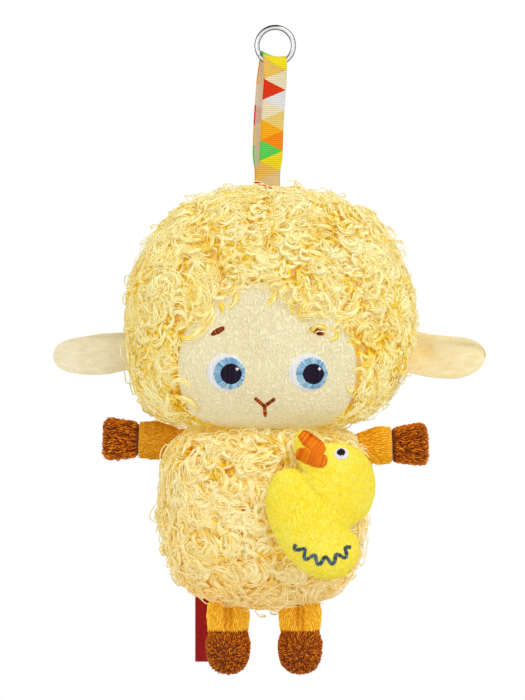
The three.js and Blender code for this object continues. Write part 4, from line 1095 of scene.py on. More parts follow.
def stitched(name, starts, ends, width, height, surface, seed, lengthwise=5):
    """Satin stitches from starts to ends, each a low rounded strand that dives into the cloth at both ends."""
    rng = np.random.default_rng(seed)
    starts, ends = np.asarray(starts, float), np.asarray(ends, float)
    count = len(starts)
    run = ends - starts
    length = np.linalg.norm(run, axis=1, keepdims=True)
    along = run / np.maximum(length, 1e-6)
    across = np.stack([-along[:, 1], along[:, 0]], axis=1)
    width = np.broadcast_to(width, count) * rng.uniform(0.9, 1.15, count)
    t = np.linspace(0, 1, lengthwise)
    arch = np.interp(t, (0, 0.12, 0.88, 1), (0.0, 1.0, 1.0, 0.0))[:, None]
    sideways, is_top = np.array((-1.0, -0.5, 0.5, 1.0)), np.array((False, True, True, False))
    bow = rng.normal(0, 0.03, count)[:, None] * np.sin(math.pi * t)[None]
    middle = starts[:, None] + run[:, None] * t[None, :, None] + across[:, None] * bow[..., None]
    plan = middle[:, :, None] + across[:, None, None] * (width[:, None] / 2 * sideways)[:, None, :, None]
    base = 0.05
    top = base + (height * rng.uniform(0.88, 1.1, count))[:, None, None] * arch
    lift = np.where(is_top, top, base - 0.1 + height * 0.45 * arch)
    points = surface(plan[..., 0], plan[..., 1], lift)
    last = (lengthwise - 1) * 4
    caps = [(0, 1, 2, 3), (last + 3, last + 2, last + 1, last)]
    quads = np.concatenate([grid_quads(lengthwise, 4, closed=True), caps])
    faces = quads[None] + (np.arange(count) * lengthwise * 4)[:, None, None]
    uvs = np.stack(np.broadcast_arrays(sideways / 2 + 0.5, (t * length)[..., None]), axis=-1)
    tint = np.repeat(rng.uniform(0, 1, count), lengthwise * 4)
    piece = mesh_piece(name, points, faces, uvs, {"tint": tint})
    facing_outwards(piece)
    return piece


def thread(name, deep, middle, light, stray=None, stray_share=0.0):
    """Rayon thread: two plies turning along each stitch, each stitch a little lighter or darker."""
    material, tree, shader = new_material(name)
    tint = value_of(tree, "tint")
    across_thread, along_thread = split_up(tree, uv_map(tree))[:2]
    turns = maths(tree, "MULTIPLY_ADD", along_thread, 9.0, maths(tree, "MULTIPLY", across_thread, 3.2))
    ply = maths(tree, "SINE", maths(tree, "MULTIPLY", turns, 1.6))
    level = maths(tree, "MULTIPLY_ADD", ply, 0.13, maths(tree, "MULTIPLY_ADD", tint, 0.55, 0.22))
    colour = ramp(tree, level, [(0.1, deep), (0.5, middle), (0.9, light)])
    if stray is not None:
        colour = mixed(tree, maths(tree, "GREATER_THAN", tint, 1 - stray_share), colour, stray)
    wired(tree, shader, {
        "Base Color": colour,
        "Roughness": 0.5,
        "Specular IOR Level": 0.2,
        "Anisotropic": 0.5,
        "Normal": raised(tree, ply, 0.00003, 0.6),
    })
    return material


white_thread = thread("white_thread", srgb(236, 236, 240), srgb(250, 250, 250), srgb(255, 255, 255))
blue_thread = thread("blue_thread", srgb(84, 142, 190), srgb(146, 196, 226), srgb(206, 238, 250))
dark_thread = thread("dark_thread", srgb(8, 2, 14), srgb(18, 6, 30), srgb(48, 30, 72))
brown_thread = thread("brown_thread", srgb(96, 30, 4), srgb(146, 58, 12), srgb(196, 100, 34), srgb(240, 134, 20), 0.2)


def columns_of_disc(x, z, radius, pitch, rng):
    """Stitches up and down a disc, with edges a little uneven."""
    across = np.arange(-radius + pitch * 0.4, radius, pitch)
    reach = np.sqrt(np.maximum(radius**2 - across**2, 0))
    low = np.stack([x + across, z - reach + rng.normal(0, 0.12, len(across))], axis=1)
    high = np.stack([x + across, z + reach + rng.normal(0, 0.12, len(across))], axis=1)
    return low, high


eye_radius, iris_radius, pupil_radius, glint_radius = 9.0, 7.4, 4.9, 0.7
iris_rays = 66
brow_half, brow_reach, brow_stitches = 3.4, 1.4, 19
rng = np.random.default_rng(5)
for side, word in ((-1, "left"), (1, "right")):
    eye_x = face_offset + side * eye_spread
    low, high = columns_of_disc(eye_x, eye_level, eye_radius, 0.36, rng)
    white = stitched(f"eye_{word}_white_stitches", low, high, 0.46, 0.3, on_face, 20 + side, lengthwise=11)
    finished(white, white_thread, "white_thread", "head", f"eye_{word}_white")

    iris = np.array((eye_x + 1.6, eye_level - 0.5))
    pupil = iris + (0.8, -0.2)
    turn = np.linspace(0, 2 * math.pi, iris_rays, endpoint=False) + rng.normal(0, 0.02, iris_rays)
    rays = np.stack([np.cos(turn), np.sin(turn)], axis=1)
    outer_ends = iris + rays * (iris_radius + rng.normal(0.1, 0.12, iris_rays))[:, None]
    inner_ends = pupil + rays * (pupil_radius - 0.7)
    on_white = over(on_face, 0.3)
    blue = stitched(f"eye_{word}_iris_stitches", inner_ends, outer_ends, 0.72, 0.3, on_white, 30 + side)
    finished(blue, blue_thread, "blue_thread", "head", f"eye_{word}_iris")

    low, high = columns_of_disc(*pupil, pupil_radius, 0.38, rng)
    on_iris = over(on_face, 0.55)
    dark = stitched(f"eye_{word}_pupil_stitches", low, high, 0.5, 0.32, on_iris, 40 + side, lengthwise=9)
    finished(dark, dark_thread, "dark_thread", "head", f"eye_{word}_pupil")

    low, high = columns_of_disc(*(pupil + (2.9, 2.4)), glint_radius, 0.4, rng)
    glint = stitched(f"eye_{word}_glint_stitches", low, high, 0.46, 0.28, over(on_face, 0.85), 50 + side)
    finished(glint, white_thread, "white_thread", "head", f"eye_{word}_glint")

    # A brow is a short lens of stitches set across its length
    brow_turn = side * math.radians(-27)
    run = np.array((math.cos(brow_turn), math.sin(brow_turn)))
    upward = np.array((-run[1], run[0]))
    at = np.linspace(-brow_half, brow_half, brow_stitches)
    reach = brow_reach * np.sqrt(np.maximum(1 - (at / (brow_half + 0.35)) ** 2, 0.02)) + rng.normal(0, 0.08, len(at))
    brow_middle = np.array((face_offset + side * 23.4, -10.4))
    starts = brow_middle + at[:, None] * run - reach[:, None] * upward
    ends = brow_middle + (at + 0.35)[:, None] * run + reach[:, None] * upward
    brow = stitched(f"eyebrow_{word}_stitches", starts, ends, 0.5, 0.5, on_face, 60 + side)
    finished(brow, brown_thread, "brown_thread", "head", f"eyebrow_{word}")

mouth_place = np.array((face_offset - 1.2, -45.8))
stitch_pitch, mouth_half = 0.36, 0.85
mouth_starts, mouth_ends = [], []
for tip in ((-4.6, 3.9), (4.9, 3.7), (0.3, -4.9)):
    length = math.hypot(*tip)
    tip_run = np.array(tip) / length
    upward = np.array((-tip_run[1], tip_run[0]))
    for at in np.arange(0.1, length, stitch_pitch):
        reach = mouth_half * min(1.0, (length - at + 0.25) / 0.8)
        middle = mouth_place + tip_run * at
        mouth_starts.append(middle - upward * reach)
        mouth_ends.append(middle + upward * reach + tip_run * 0.15)
mouth = stitched("nose_and_mouth_stitches", mouth_starts, mouth_ends, 0.46, 0.5, on_face, 70)
finished(mouth, brown_thread, "brown_thread", "head", "nose_mouth_stitch")

# Ears
# Two panels of cream velour sewn right sides together and turned, with no filling, so the seam makes the edge.
# Each ear is cupped forward and droops a little, and the right one is dented near its root.


def ear_piece(word, side):
    """One ear from its root in the head's side to its tip, along x."""
    length, thick, edge, cup = 38.3, 6.0, 1.2, 2.4
    widest, blunt, start_x = 0.42, 2.3, 65.5
    height, root = (19.4, 18.0) if side < 0 else (21.2, 20.0)
    droop = (0.0, 1.5, 2.4, 2.6) if side < 0 else (0.2, 2.6, 3.4, 2.2)
    steps, around = 64, 48
    at = np.clip(1 - (1 - np.linspace(0, 1, steps)) ** 1.7, 0, 0.99996)
    grow = np.clip(at / widest, 0, 1)
    grow = grow * grow * (3 - 2 * grow)
    taper = np.maximum(1 - (np.clip(at - widest, 0, 1) / (1 - widest)) ** blunt, 0) ** (1 / blunt)
    half_height = np.where(at < widest, root + (height - root) * grow, height * taper) / 2
    fullness = half_height / (height / 2)
    half_thick = thick / 2 * np.minimum(1, fullness**0.8) * (0.82 + 0.18 * np.cos(at * 3))
    half_thick = np.maximum(half_thick, edge / 2 * taper**0.5)
    turn = np.linspace(0, 2 * math.pi, around, endpoint=False)
    up, forward = np.cos(turn), np.sin(turn)
    at = at[:, None]
    # The section is a lens with a low ridge at both seams, pushed back towards its edges by the cup
    lens = np.sign(forward) * (1 - np.abs(up) ** 2.2) ** 0.8
    ridge = np.sign(forward) * edge / 2 * (1 - np.abs(up)) ** 0.15
    y = -(half_thick[:, None] - edge / 2) * lens * 0.72 - ridge * np.minimum(taper, 1)[:, None] * 0.9
    y = y - cup * np.abs(up) ** 2.4 * fullness[:, None] ** 2 * 0.8 + 0.6
    wobble = 0.25 * np.sin(at * 9 + side) * up
    z = half_height[:, None] * up + wobble - np.interp(at, (0, 0.3, 0.6, 1), droop)
    if side > 0:
        dent = np.exp(-(((at - 0.2) / 0.17) ** 2 + ((z + 0.5) / 5.5) ** 2))
        y = np.where(forward > 0.02, y + 2.0 * dent, y - 0.4 * dent)
        roll = np.clip((at - 0.35) / 0.5, 0, 1) * np.clip(up - 0.35, 0, 1)
        y = y - 1.9 * roll
        z = z - 0.9 * roll
        # How much painted shade lies along the crease under the rolled top edge
        crease = 0.8 * np.exp(-(((up - 0.66) / 0.13) ** 2)) * np.exp(-(((at - 0.72) / 0.26) ** 2))
    else:
        fold = np.exp(-(((at - 0.3) / 0.3) ** 2 + ((z - 6.2) / 1.1) ** 2))
        y = np.where(forward > 0.02, y + 0.45 * fold, y)
        # Painted shade along the fold; this ear has no dent to shade
        crease, dent = 0.5 * fold, np.zeros_like(fold)
    points = np.stack(np.broadcast_arrays(side * (start_x + length * at), y, z + ear_level), axis=-1) + head_centre
    in_front = forward > 0
    piece = mesh_piece(
        f"ear_{word}_velour",
        points,
        grid_quads(steps, around, closed=True),
        points[..., [0, 2]] / 100,
        {"crease": crease * in_front, "dent": dent * in_front},
    )
    facing_outwards(piece, close=True)
    return piece


ear_colours = {
    "left": (srgb(214, 197, 150), srgb(232, 218, 180), srgb(243, 235, 204)),
    "right": (srgb(226, 200, 138), srgb(242, 222, 166), srgb(250, 237, 196)),
}
# Painted shade: darker along each ear's crease, and warmer and darker in the right ear's dent
ear_shades = (("crease", (0.74, 0.72, 0.58)), ("dent", (1.0, 0.9, 0.68)))
for side, word in ((-1, "left"), (1, "right")):
    ear_velour = velour(f"ear_velour_{word}", *ear_colours[word], streak=(160, 300, 420), shades=ear_shades)
    nodes = (f"ear_{word}_front", f"ear_{word}_back")
    finished(ear_piece(word, side), ear_velour, "cream_velour", f"ear_{word}", *nodes, fill=0.3)

# Body cover
# The same curly fabric as the head's, sewn as a round bag with holes for the limbs, and full of fibre.
# Its locks are a little looser and lie downwards, and the duck presses some of them flat.
body_form = {"centre": (-4.7, 0.0, -225.55), "half": (50.5, 38.0), "rise": 35.6, "fall": 51.8}
body_form.update(plan_power=2.2, rise_power=3.6, fall_power=2.7, clump_columns=28, clump_rows=14)
body_neck = 31.8
arm_hole, leg_hole = 9.4, 9.6


def body_open(points):
    """Where the body has no fur: the neck and the holes for the limbs."""
    x, y, z = points.T
    arm_left = (x < -25) & (np.hypot(y, z - 27.7) < arm_hole)
    arm_right = (x > 25) & (np.hypot(y, z - 25.4) < arm_hole)
    legs = (z < -30) & ((np.hypot(x + 17.85, y + 2) < leg_hole) | (np.hypot(x - 16.65, y + 2) < leg_hole))
    return (z > body_neck) | arm_left | arm_right | legs


def body_curls_closed(points):
    """Curls also close the neck, as on the head."""
    return body_open(points) & ~(points[:, 2] > body_neck)


def body_curl_trim(sites, out, forward, size, lift):
    """Locks lie lower under the duck, in the neck and round the arms."""
    x, y, z = sites.T
    under_duck = (((x - 27) / 24) ** 2 + ((z + 4) / 31) ** 2 < 1) & (y < -10)
    round_arms = (np.abs(x) > 38) & (np.hypot(y, z - 26.5) < 12)
    lift = np.where(under_duck, lift * 0.45, lift)
    lift = np.where(z > 31, lift * 0.62, lift)
    lift = np.where(round_arms, lift * 0.8, lift)
    return size, shaped(lift, size, sites, out, body_shaping), np.ones(len(x), bool)


body_backing = fur_backing_shell("body_backing", body_form, lambda points: ~body_open(points), 64, 120)
finished(body_backing, fur_backing, "curly_fur", "torso", "body_fur_cover", fill=0.9)
body_pile = curly_pile(
    "body_curly_pile",
    root=srgb(220, 158, 0),
    low=srgb(238, 191, 18),
    middle=srgb(246, 213, 56),
    tip=srgb(251, 241, 198),
    warm=(1.0, 0.92, 0.64),
    shade_below=-0.25,
)
body_shaping = [(47, -26, 15, -3.4), (53, -6, 10, -1.2), (-53, -12, 8, 3.2), (-42, -36, 10, 1.6)]
body_shaping += [(41, 35, 13, 6.0), (-40, 35, 13, 6.0)]
grow_fur("body", body_form, "torso", "body_fur_cover", 41, body_curls_closed, body_pile, 5, 1.16, body_curl_trim)

# Arms
# Each arm is an ochre velour sleeve, gathered where it enters the body, with a brown long-pile cuff sewn on.
# The seam sinks between the two, and the pile of the cuff stands out round it in ragged tufts.


def sleeve_radius(limb, at):
    """A sleeve's radius at a distance from its pivot; behind the pivot it ends in a ball."""
    if at < 0:
        return math.sqrt(max(0.0, limb["root"] ** 2 - at**2))
    swell, draw = eased(at / limb["taper"]), eased((at - limb["taper"]) / (limb["seam"] - limb["taper"]))
    return limb["root"] + (limb["full"] - limb["root"]) * swell - (limb["full"] - limb["wrist"]) * draw


def end_radius(limb, at):
    """A cuff's or hoof's radius at a distance from the limb's pivot."""
    share = (at - limb["seam"]) / (limb["length"] - limb["seam"])
    full = limb["wrist"] + (limb["end"] - limb["wrist"]) * eased(share / limb["swell"])
    round_share = max(0.0, (share - limb["round"]) / (1 - limb["round"]))
    return full * max(0.0, 1 - round_share ** limb["power"]) ** (1 / limb["power"])


def spun(name, profile, around, place, turn):
    """Turns a closed profile of (radius, height) in millimetres about the upright axis, then lays it in place."""
    mesh = bpy.data.meshes.new(name)
    mesh.from_pydata([(r * MM, 0, h * MM) for r, h in profile], [(i, i + 1) for i in range(len(profile) - 1)], [])
    piece = bpy.data.objects.new(name, mesh)
    bpy.context.scene.collection.objects.link(piece)
    bpy.ops.object.select_all(action="DESELECT")
    bpy.context.view_layer.objects.active = piece
    piece.select_set(True)
    bpy.ops.object.mode_set(mode="EDIT")
    bpy.ops.mesh.select_all(action="SELECT")
    bpy.ops.mesh.spin(steps=around, angle=2 * math.pi, center=(0, 0, 0), axis=(0, 0, 1))
    bpy.ops.mesh.select_all(action="SELECT")
    bpy.ops.mesh.remove_doubles(threshold=0.00002)
    bpy.ops.mesh.normals_make_consistent(inside=False)
    bpy.ops.object.mode_set(mode="OBJECT")
    bpy.ops.object.shade_smooth()
    piece.rotation_euler = turn
    piece.location = [c * MM for c in place]
    bpy.ops.object.transform_apply(location=True, rotation=True, scale=True)
    return piece


def tuft_shapes(*sizes):
    """Tufts from their (length, width, rise, fall, curl) in millimetres."""
    share = np.linspace(0, 1, 4)
    shapes = []
    for length, width, rise, fall, curl in sizes:
        height = rise * np.sin(share * math.pi * 0.62) - fall * share**2
        path = np.stack([curl * share**2, length * share, height], axis=1)
        shapes.append(lock_shape(path, width * np.array((0.8, 1.0, 0.8, 0.25)), 0.8, strand_section))
    return shapes


long_tufts = tuft_shapes(
    (2.8, 0.34, 1.5, 0.6, 0.3),
    (3.2, 0.3, 1.3, 0.7, -0.4),
    (2.4, 0.42, 1.7, 0.5, 0.1),
    (3.5, 0.28, 1.4, 0.5, 0.5),
    (2.6, 0.36, 1.9, 0.5, -0.2),
)
hoof_tufts = tuft_shapes(
    (2.3, 0.32, 0.8, 0.5, 0.5), (1.9, 0.28, 0.9, 0.4, -0.4), (2.6, 0.36, 0.8, 0.6, -0.6), (2.1, 0.26, 0.9, 0.4, 0.2)
)
short_tufts = tuft_shapes((2.2, 0.26, 0.5, 0.25, 0.2), (1.8, 0.22, 0.42, 0.2, -0.25), (2.5, 0.3, 0.6, 0.35, 0.0))


def turned_sites(limb, radius_of, spacing, from_at, to_at, inset, seed):
    """Places over a limb, evenly spread, with outward and lengthwise directions; the limb runs along +Z."""
    rng = np.random.default_rng(seed)
    at = from_at + (to_at - from_at) * (1 - (1 - np.linspace(0, 1, 400)) ** 3)
    radius = np.array([max(radius_of(limb, a) - inset, 0.01) for a in at])
    slope = np.gradient(radius, at)
    run = np.concatenate([[0], np.cumsum(np.hypot(np.diff(at), np.diff(radius)))])
    places, outs, alongs = [], [], []
    for row in np.arange(spacing / 2, run[-1], spacing * 0.87):
        h, r, s = (np.interp(row, run, values) for values in (at, radius, slope))
        count = max(1, int(round(2 * math.pi * r / spacing)))
        turns = (np.arange(count) + rng.uniform(0, 1)) * 2 * math.pi / count + rng.normal(0, 0.2 / count, count)
        c, d = np.cos(turns), np.sin(turns)
        places.append(np.stack([r * c, r * d, h + rng.normal(0, spacing * 0.2, count)], axis=1))
        outs.append(np.stack([c, d, np.full(count, -s)], axis=1) / math.hypot(1, s))
        alongs.append(np.stack([s * c, s * d, np.ones(count)], axis=1) / math.hypot(1, s))
    return np.concatenate(places), np.concatenate(outs), np.concatenate(alongs)


def laid(vectors, turn, place=(0, 0, 0)):
    """Turns the directions or places of a limb drawn along +Z to where the limb lies."""
    return vectors @ np.array(Euler(turn).to_matrix()).T + np.array(place)


def tufted(name, shapes, sites, out, forward, place, turn, tint, seed, tallest):
    """Pile of tufts over a limb, lying forward."""
    rng = np.random.default_rng(seed)
    forward = forward - out * np.einsum("ij,ij->i", forward, out)[:, None]
    forward /= np.maximum(np.linalg.norm(forward, axis=1, keepdims=True), 1e-6)
    count = len(sites)
    return planted(
        name,
        shapes,
        rng.integers(0, len(shapes), count),
        laid(sites, turn, place),
        laid(out, turn),
        laid(np.cross(forward, out), turn),
        laid(forward, turn),
        rng.uniform(0.8, 1.15, count),
        rng.uniform(0.7, 1.15, count),
        tint + rng.uniform(-0.5, 0.5, count),
        depth_top=tallest,
    )


def tuft_material(name, root, low, middle, tip, painted_glow=0.06):
    """Straight pile in tufts: dark where it goes in and lighter at the ends, its own colour with painted shade low in
    the pile, each tuft a little different.
    """
    material, tree, shader = new_material(name)
    tint = maths(tree, "SUBTRACT", value_of(tree, "tint"), 0.5)
    strand = maths(tree, "SUBTRACT", pile_strands(tree, 6.0, 1.0), 0.5)
    level = maths(tree, "MULTIPLY_ADD", tint, 0.45, maths(tree, "MULTIPLY", value_of(tree, "depth"), 0.8))
    level = maths(tree, "MULTIPLY_ADD", strand, 0.4, level)
    colour = ramp(tree, level, [(0.0, root), (0.35, low), (0.62, middle), (0.95, tip)])
    wired(tree, shader, {
        "Base Color": colour,
        # Painted light: the tufts glow a little in their own colour
        "Emission Color": colour,
        "Emission Strength": painted_glow,
        "Roughness": 0.6,
        "Sheen Weight": 0.1,
        "Sheen Tint": (*tip, 1),
        "Specular IOR Level": 0.2,
    })
    return material


brown_tufts = tuft_material(
    "brown_tufts", srgb(92, 28, 0), srgb(156, 68, 0), srgb(208, 110, 4), srgb(246, 156, 24), 0.1
)
brown_backing = knitted_backing("brown_backing", srgb(92, 34, 0), srgb(140, 62, 4))
ochre_tufts = tuft_material(
    "ochre_tufts", srgb(206, 128, 2), srgb(238, 164, 18), srgb(254, 190, 44), srgb(255, 214, 92)
)
pale_ochre_tufts = tuft_material(
    "pale_ochre_tufts", srgb(210, 134, 0), srgb(244, 175, 14), srgb(255, 202, 46), srgb(255, 222, 92), 0.18
)
ochre_velour = velour("ochre_velour", srgb(196, 120, 6), srgb(236, 162, 24), srgb(250, 190, 60), (300, 300, 90), 0.6)


def limb_pieces(word, end_word, limb, place, turn, seed):
    """A sleeve with its short nap, and an end piece's backing with its long pile."""
    root, seam, length, pile_length = limb["root"], limb["seam"], limb["length"], limb["pile"]
    seam_width, sleeve_wall, backing_wall = 1.4, 1.2, 1.0
    profile = [(0.0, -root)]
    profile += [(root * math.sin(a), -root * math.cos(a)) for a in np.linspace(0.25, math.pi / 2, 6)]
    for at in [*np.linspace(0.8, seam - seam_width, 14), *(seam - d for d in (1.0, 0.6, 0.3, 0.1))]:
        dip = max(0.0, 1 - (seam - at) / seam_width) ** 2 * 0.9
        profile.append((sleeve_radius(limb, at) - dip - 0.3, at))
    inner = [(r - sleeve_wall, at) for r, at in profile if r > 2.6]
    profile = [*profile, *inner[::-1], (0.0, -root + 1.3)]
    sleeve = spun(f"{word}_sleeve_velour", profile, 56, place, turn)
    finished(sleeve, ochre_velour, "ochre_velour", word, f"{word}_sleeve", fill=0.9)

    sites, out, along = turned_sites(limb, sleeve_radius, 1.0, 1.5, seam - 2.2, 0.35, seed + 1)
    lean, shade = limb["nap"](np.arctan2(sites[:, 1], sites[:, 0]))
    rng = np.random.default_rng(seed)
    forward = along + np.cross(out, along) * (lean + rng.normal(0, 0.3, len(sites)))[:, None]
    tone = limb["tone"] + shade
    nap = tufted(f"{word}_sleeve_nap", short_tufts, sites, out, forward, place, turn, tone, seed, 0.6)
    finished(nap, limb["nap_material"], "ochre_velour", word, f"{word}_sleeve")

    low, high = seam + 0.15, length - pile_length * 0.4
    ats = low + (high - low) * np.sin(np.linspace(0, math.pi / 2, 20))
    reach = (length - seam) / (high - seam)
    base = [(end_radius(limb, seam + (at - seam) * reach) - pile_length * 0.5, at) for at in ats]
    base = [(max(r, 0.0), at) for r, at in base[:-1]] + [(0.0, high)]
    inner = [(r - backing_wall, at) for r, at in base if r > 1.6]
    profile = [*base, (0.0, high - backing_wall), *inner[::-1], base[0]]
    backing = spun(f"{word}_{end_word}_backing", profile, 48, place, turn)
    finished(backing, brown_backing, "brown_pile", word, f"{word}_{end_word}", fill=0.9)

    sites, out, along = turned_sites(limb, end_radius, 0.95, seam + 0.1, length - 0.001, pile_length * 0.6, seed)
    forward = limb["lie"](sites, along) + rng.normal(0, limb["stray"], sites.shape)
    tone, tallest = limb["end_tone"], limb["tallest"]
    pile = tufted(f"{word}_{end_word}_pile", limb["tufts"], sites, out, forward, place, turn, tone, seed, tallest)
    finished(pile, brown_tufts, "brown_pile", word, f"{word}_{end_word}")


def outward_lie(sites, along):
    """The pile of a cuff lies outwards along the arm."""
    return along


def even_nap(azimuth):
    """The nap of an arm lies straight, and is as light all round."""
    return np.zeros(len(azimuth)), 0.0


arm = {"root": 6.1, "full": 9.1, "taper": 13.0, "wrist": 8.6, "end": 10.1, "pile": 2.2, "swell": 0.9, "round": 0.6}
arm.update(power=6.0, stray=0.34, tufts=long_tufts, tallest=1.6, end_tone=0.45, lie=outward_lie, nap=even_nap)
cuff_length = 15.5
for side, word, x, z, length, tone, nap_material in (
    (-1, "arm_left", -45.013, -197.35, 36.0, 0.22, ochre_tufts),
    (1, "arm_right", 37.698, -199.85, 33.9, 0.36, pale_ochre_tufts),
):
    limb = dict(arm, length=length, seam=length - cuff_length, tone=tone, nap_material=nap_material)
    # The arms are raised a little from where they pivot
    limb_pieces(word, "cuff", limb, (x, 0, z), (0, side * math.radians(88.2), 0), 81 + side)

# Legs
# Made like the arms, with a seam down the front of each sleeve and a taller hoof of the same brown pile.
# The nap runs down to the seam, and the pile of the hooves spreads from the middle of the front.


def hoof_lie(sites, along):
    """The pile of a hoof spreads from the middle of its front."""
    return (sites - np.array((0.0, leg["end"], leg["seam"] + 11.5))) / 8


def from_seam(azimuth):
    """How far the nap leans away from the front seam, and how dark it lies in the seam."""
    away = (azimuth - math.pi / 2 + math.pi) % (2 * math.pi) - math.pi
    return -0.7 * np.sign(away) * np.exp(-np.abs(away)), -2.4 * np.exp(-((away / 0.13) ** 2))


leg = {"root": 8.7, "full": 10.2, "taper": 9.0, "wrist": 9.6, "end": 11.0, "pile": 1.6, "swell": 0.3, "round": 0.25}
leg.update(power=2.8, stray=0.45, tufts=hoof_tufts, tallest=1.0, end_tone=0.6, lie=hoof_lie, nap=from_seam)
leg.update(length=37.0, seam=17.1, tone=0.8, nap_material=pale_ochre_tufts)
for side, word, x in ((-1, "leg_left", -22.55), (1, "leg_right", 11.95)):
    limb_pieces(word, "hoof", leg, (x, -2.0, -271.35), (math.pi, 0, 0), 91 + side)

# Side label
# A woven satin label folded double, with heat-cut edges, caught by its ends in the left side seam.
# It is dark red and bare, and hangs straight down behind the leg.
label_width, label_length, label_gap, tape = 16.0, 38.2, 0.22, 0.3
label_place = (-30.7, 20.0, -266.17)
pick_pitch, warp_pitch = 0.34, 0.3
fold = label_gap / 2 + tape / 2
drop = np.linspace(-1.0, label_length - fold, 36)
turn = np.linspace(0, math.pi, 12)[1:-1]
line = [(-fold, d) for d in drop]
line += [(-fold * math.cos(a), label_length - fold + fold * math.sin(a)) for a in turn]
line += [(fold, d) for d in drop[::-1]]
line = np.array(line)
tangent = np.gradient(line, axis=0)
tangent /= np.linalg.norm(tangent, axis=1, keepdims=True)
normal = np.stack([tangent[:, 1], -tangent[:, 0]], axis=1)
tape_run = np.concatenate([[0], np.cumsum(np.linalg.norm(np.diff(line, axis=0), axis=1))])
columns = np.linspace(-label_width / 2, label_width / 2, 13)
tape_sides = []
for face in (-1, 1):
    spread, down = (line + normal * face * tape / 2).T[:, :, None]
    sway = 0.5 * np.sin(down / label_length * 2.2) * (columns / label_width)
    side_grid = np.stack(np.broadcast_arrays(columns, spread + sway, -down), axis=-1)
    tape_sides.append(side_grid if face < 0 else side_grid[:, ::-1])
tape_shell = np.concatenate(tape_sides, axis=1)
tape_across = np.concatenate([columns, columns[::-1]])
tape_uv = np.stack(np.broadcast_arrays(tape_across / 100, tape_run[:, None] / 100), axis=-1)
tape_size = tape_shell.shape[:2]
tape_quads = np.concatenate([grid_quads(*tape_size, closed=True), cut_ends(*tape_size)])
label = mesh_piece("side_label_tape", tape_shell + label_place, tape_quads, tape_uv)
facing_outwards(label)
woven, tree, shader = new_material("woven_label")
place = stretched(tree, uv_map(tree), (100, 100, 1))
across_value, along_value = split_up(tree, place)[:2]
picks = maths(tree, "SINE", maths(tree, "MULTIPLY", along_value, 2 * math.pi / pick_pitch))
warp = maths(tree, "SINE", maths(tree, "MULTIPLY", across_value, 2 * math.pi / warp_pitch))
weave = maths(tree, "MULTIPLY", picks, warp)
level = maths(tree, "MULTIPLY_ADD", weave, 0.14, noise(tree, place, 0.5, 3))
wired(tree, shader, {
    "Base Color": ramp(tree, level, [(0.25, srgb(140, 4, 6)), (0.5, srgb(180, 8, 12)), (0.8, srgb(202, 26, 22))]),
    "Roughness": 0.5,
    "Specular IOR Level": 0.25,
    "Normal": raised(tree, weave, 0.00008, 0.7),
})
finished(label, woven, "woven_label", "label", "side_label")

# Duck
# Two panels of bright yellow velour stuffed lightly, sewn by the edge to the body's front and bent round it.
# The beak is two lobes of orange satin stitch, the eye white and black stitches, and a wavy line decorates it.
duck_centre = np.array((23.9, -40.5, -227.95))
duck_height = 70.5
duck_shares = [(-0.155, 0.516), (-0.03, 0.44), (0.15, 0.42), (0.286, 0.32), (0.337, 0.141), (0.286, -0.046)]
duck_shares += [(0.165, -0.14), (0.208, -0.2), (0.228, -0.32), (0.13, -0.453), (-0.041, -0.476), (-0.214, -0.374)]
duck_shares += [(-0.354, -0.171), (-0.405, 0.047), (-0.338, 0.227), (-0.225, 0.265), (-0.158, 0.24), (-0.205, 0.36)]
duck_shares += [(-0.208, 0.468)]


def smooth_outline(corners, count):
    """A closed curve through the corners, with points at equal steps of the curve's parameter."""
    t = np.arange(count) * len(corners) / count
    i = t.astype(int)
    f = (t - i)[:, None]
    a, b, c, d = (corners[(i + k) % len(corners)] for k in (-1, 0, 1, 2))
    return 0.5 * (2 * b + (c - a) * f + (2 * a - 5 * b + 4 * c - d) * f**2 + (3 * b - a - 3 * c + d) * f**3)


duck_outline = smooth_outline(np.array(duck_shares) * duck_height, 190)
edge_round, edge_depth = 17.0, 0.7
front_bulge, back_bulge = 9.0, 4.0
crease_from, crease_to = np.array((-12.0, 13.0)), np.array((6.5, -4.5))


def duck_edge_distance(x, z):
    """How far places lie from the duck's outline."""
    p = np.stack([np.ravel(x), np.ravel(z)], axis=1)
    best = np.full(len(p), 1e9)
    for a, b in zip(duck_outline, np.roll(duck_outline, -1, axis=0)):
        run = b - a
        share = np.clip(((p - a) @ run) / (run @ run), 0, 1)
        best = np.minimum(best, np.linalg.norm(p - (a + share[:, None] * run), axis=1))
    return best.reshape(np.shape(x))


def duck_bend(x):
    """How far the duck is bent back round the body's side."""
    return 20.0 * np.maximum(0, (x + 0.14 * duck_height) / (0.48 * duck_height)) ** 2


def duck_depth(x, z, bulge):
    """How far the velour bulges from the seam's plane, rounded down to the edge."""
    flat = 1 - np.minimum(1, duck_edge_distance(x, z) / edge_round)
    return edge_depth + (bulge - edge_depth) * np.sqrt(1 - flat**2)


def duck_crease(x, z):
    """Under the beak a seam draws the front in along a line."""
    run = crease_to - crease_from
    px, pz = x - crease_from[0], z - crease_from[1]
    share = np.clip((px * run[0] + pz * run[1]) / (run @ run), 0, 1)
    away = np.hypot(px - share * run[0], pz - share * run[1])
    return 1.9 * np.exp(-((away / 1.7) ** 2)) * (1 - 0.75 * share)


def on_duck(x, z, above=0.0):
    """A point on the duck's front at x and z from its centre, raised above the velour."""
    x, z = np.asarray(x, float), np.asarray(z, float)
    depth = duck_depth(x, z, front_bulge)
    crease = np.minimum(duck_crease(x, z), 0.45 * np.maximum(depth - 1.4, 0))
    # The seam allowance bunches up in the notch behind the neck
    notch = 1.1 * np.exp(-(((x - crease_from[0]) / 2.4) ** 2) - ((z - crease_from[1]) / 2.4) ** 2)
    return np.stack([x, duck_bend(x) - depth + crease - notch - above, z], axis=-1) + duck_centre


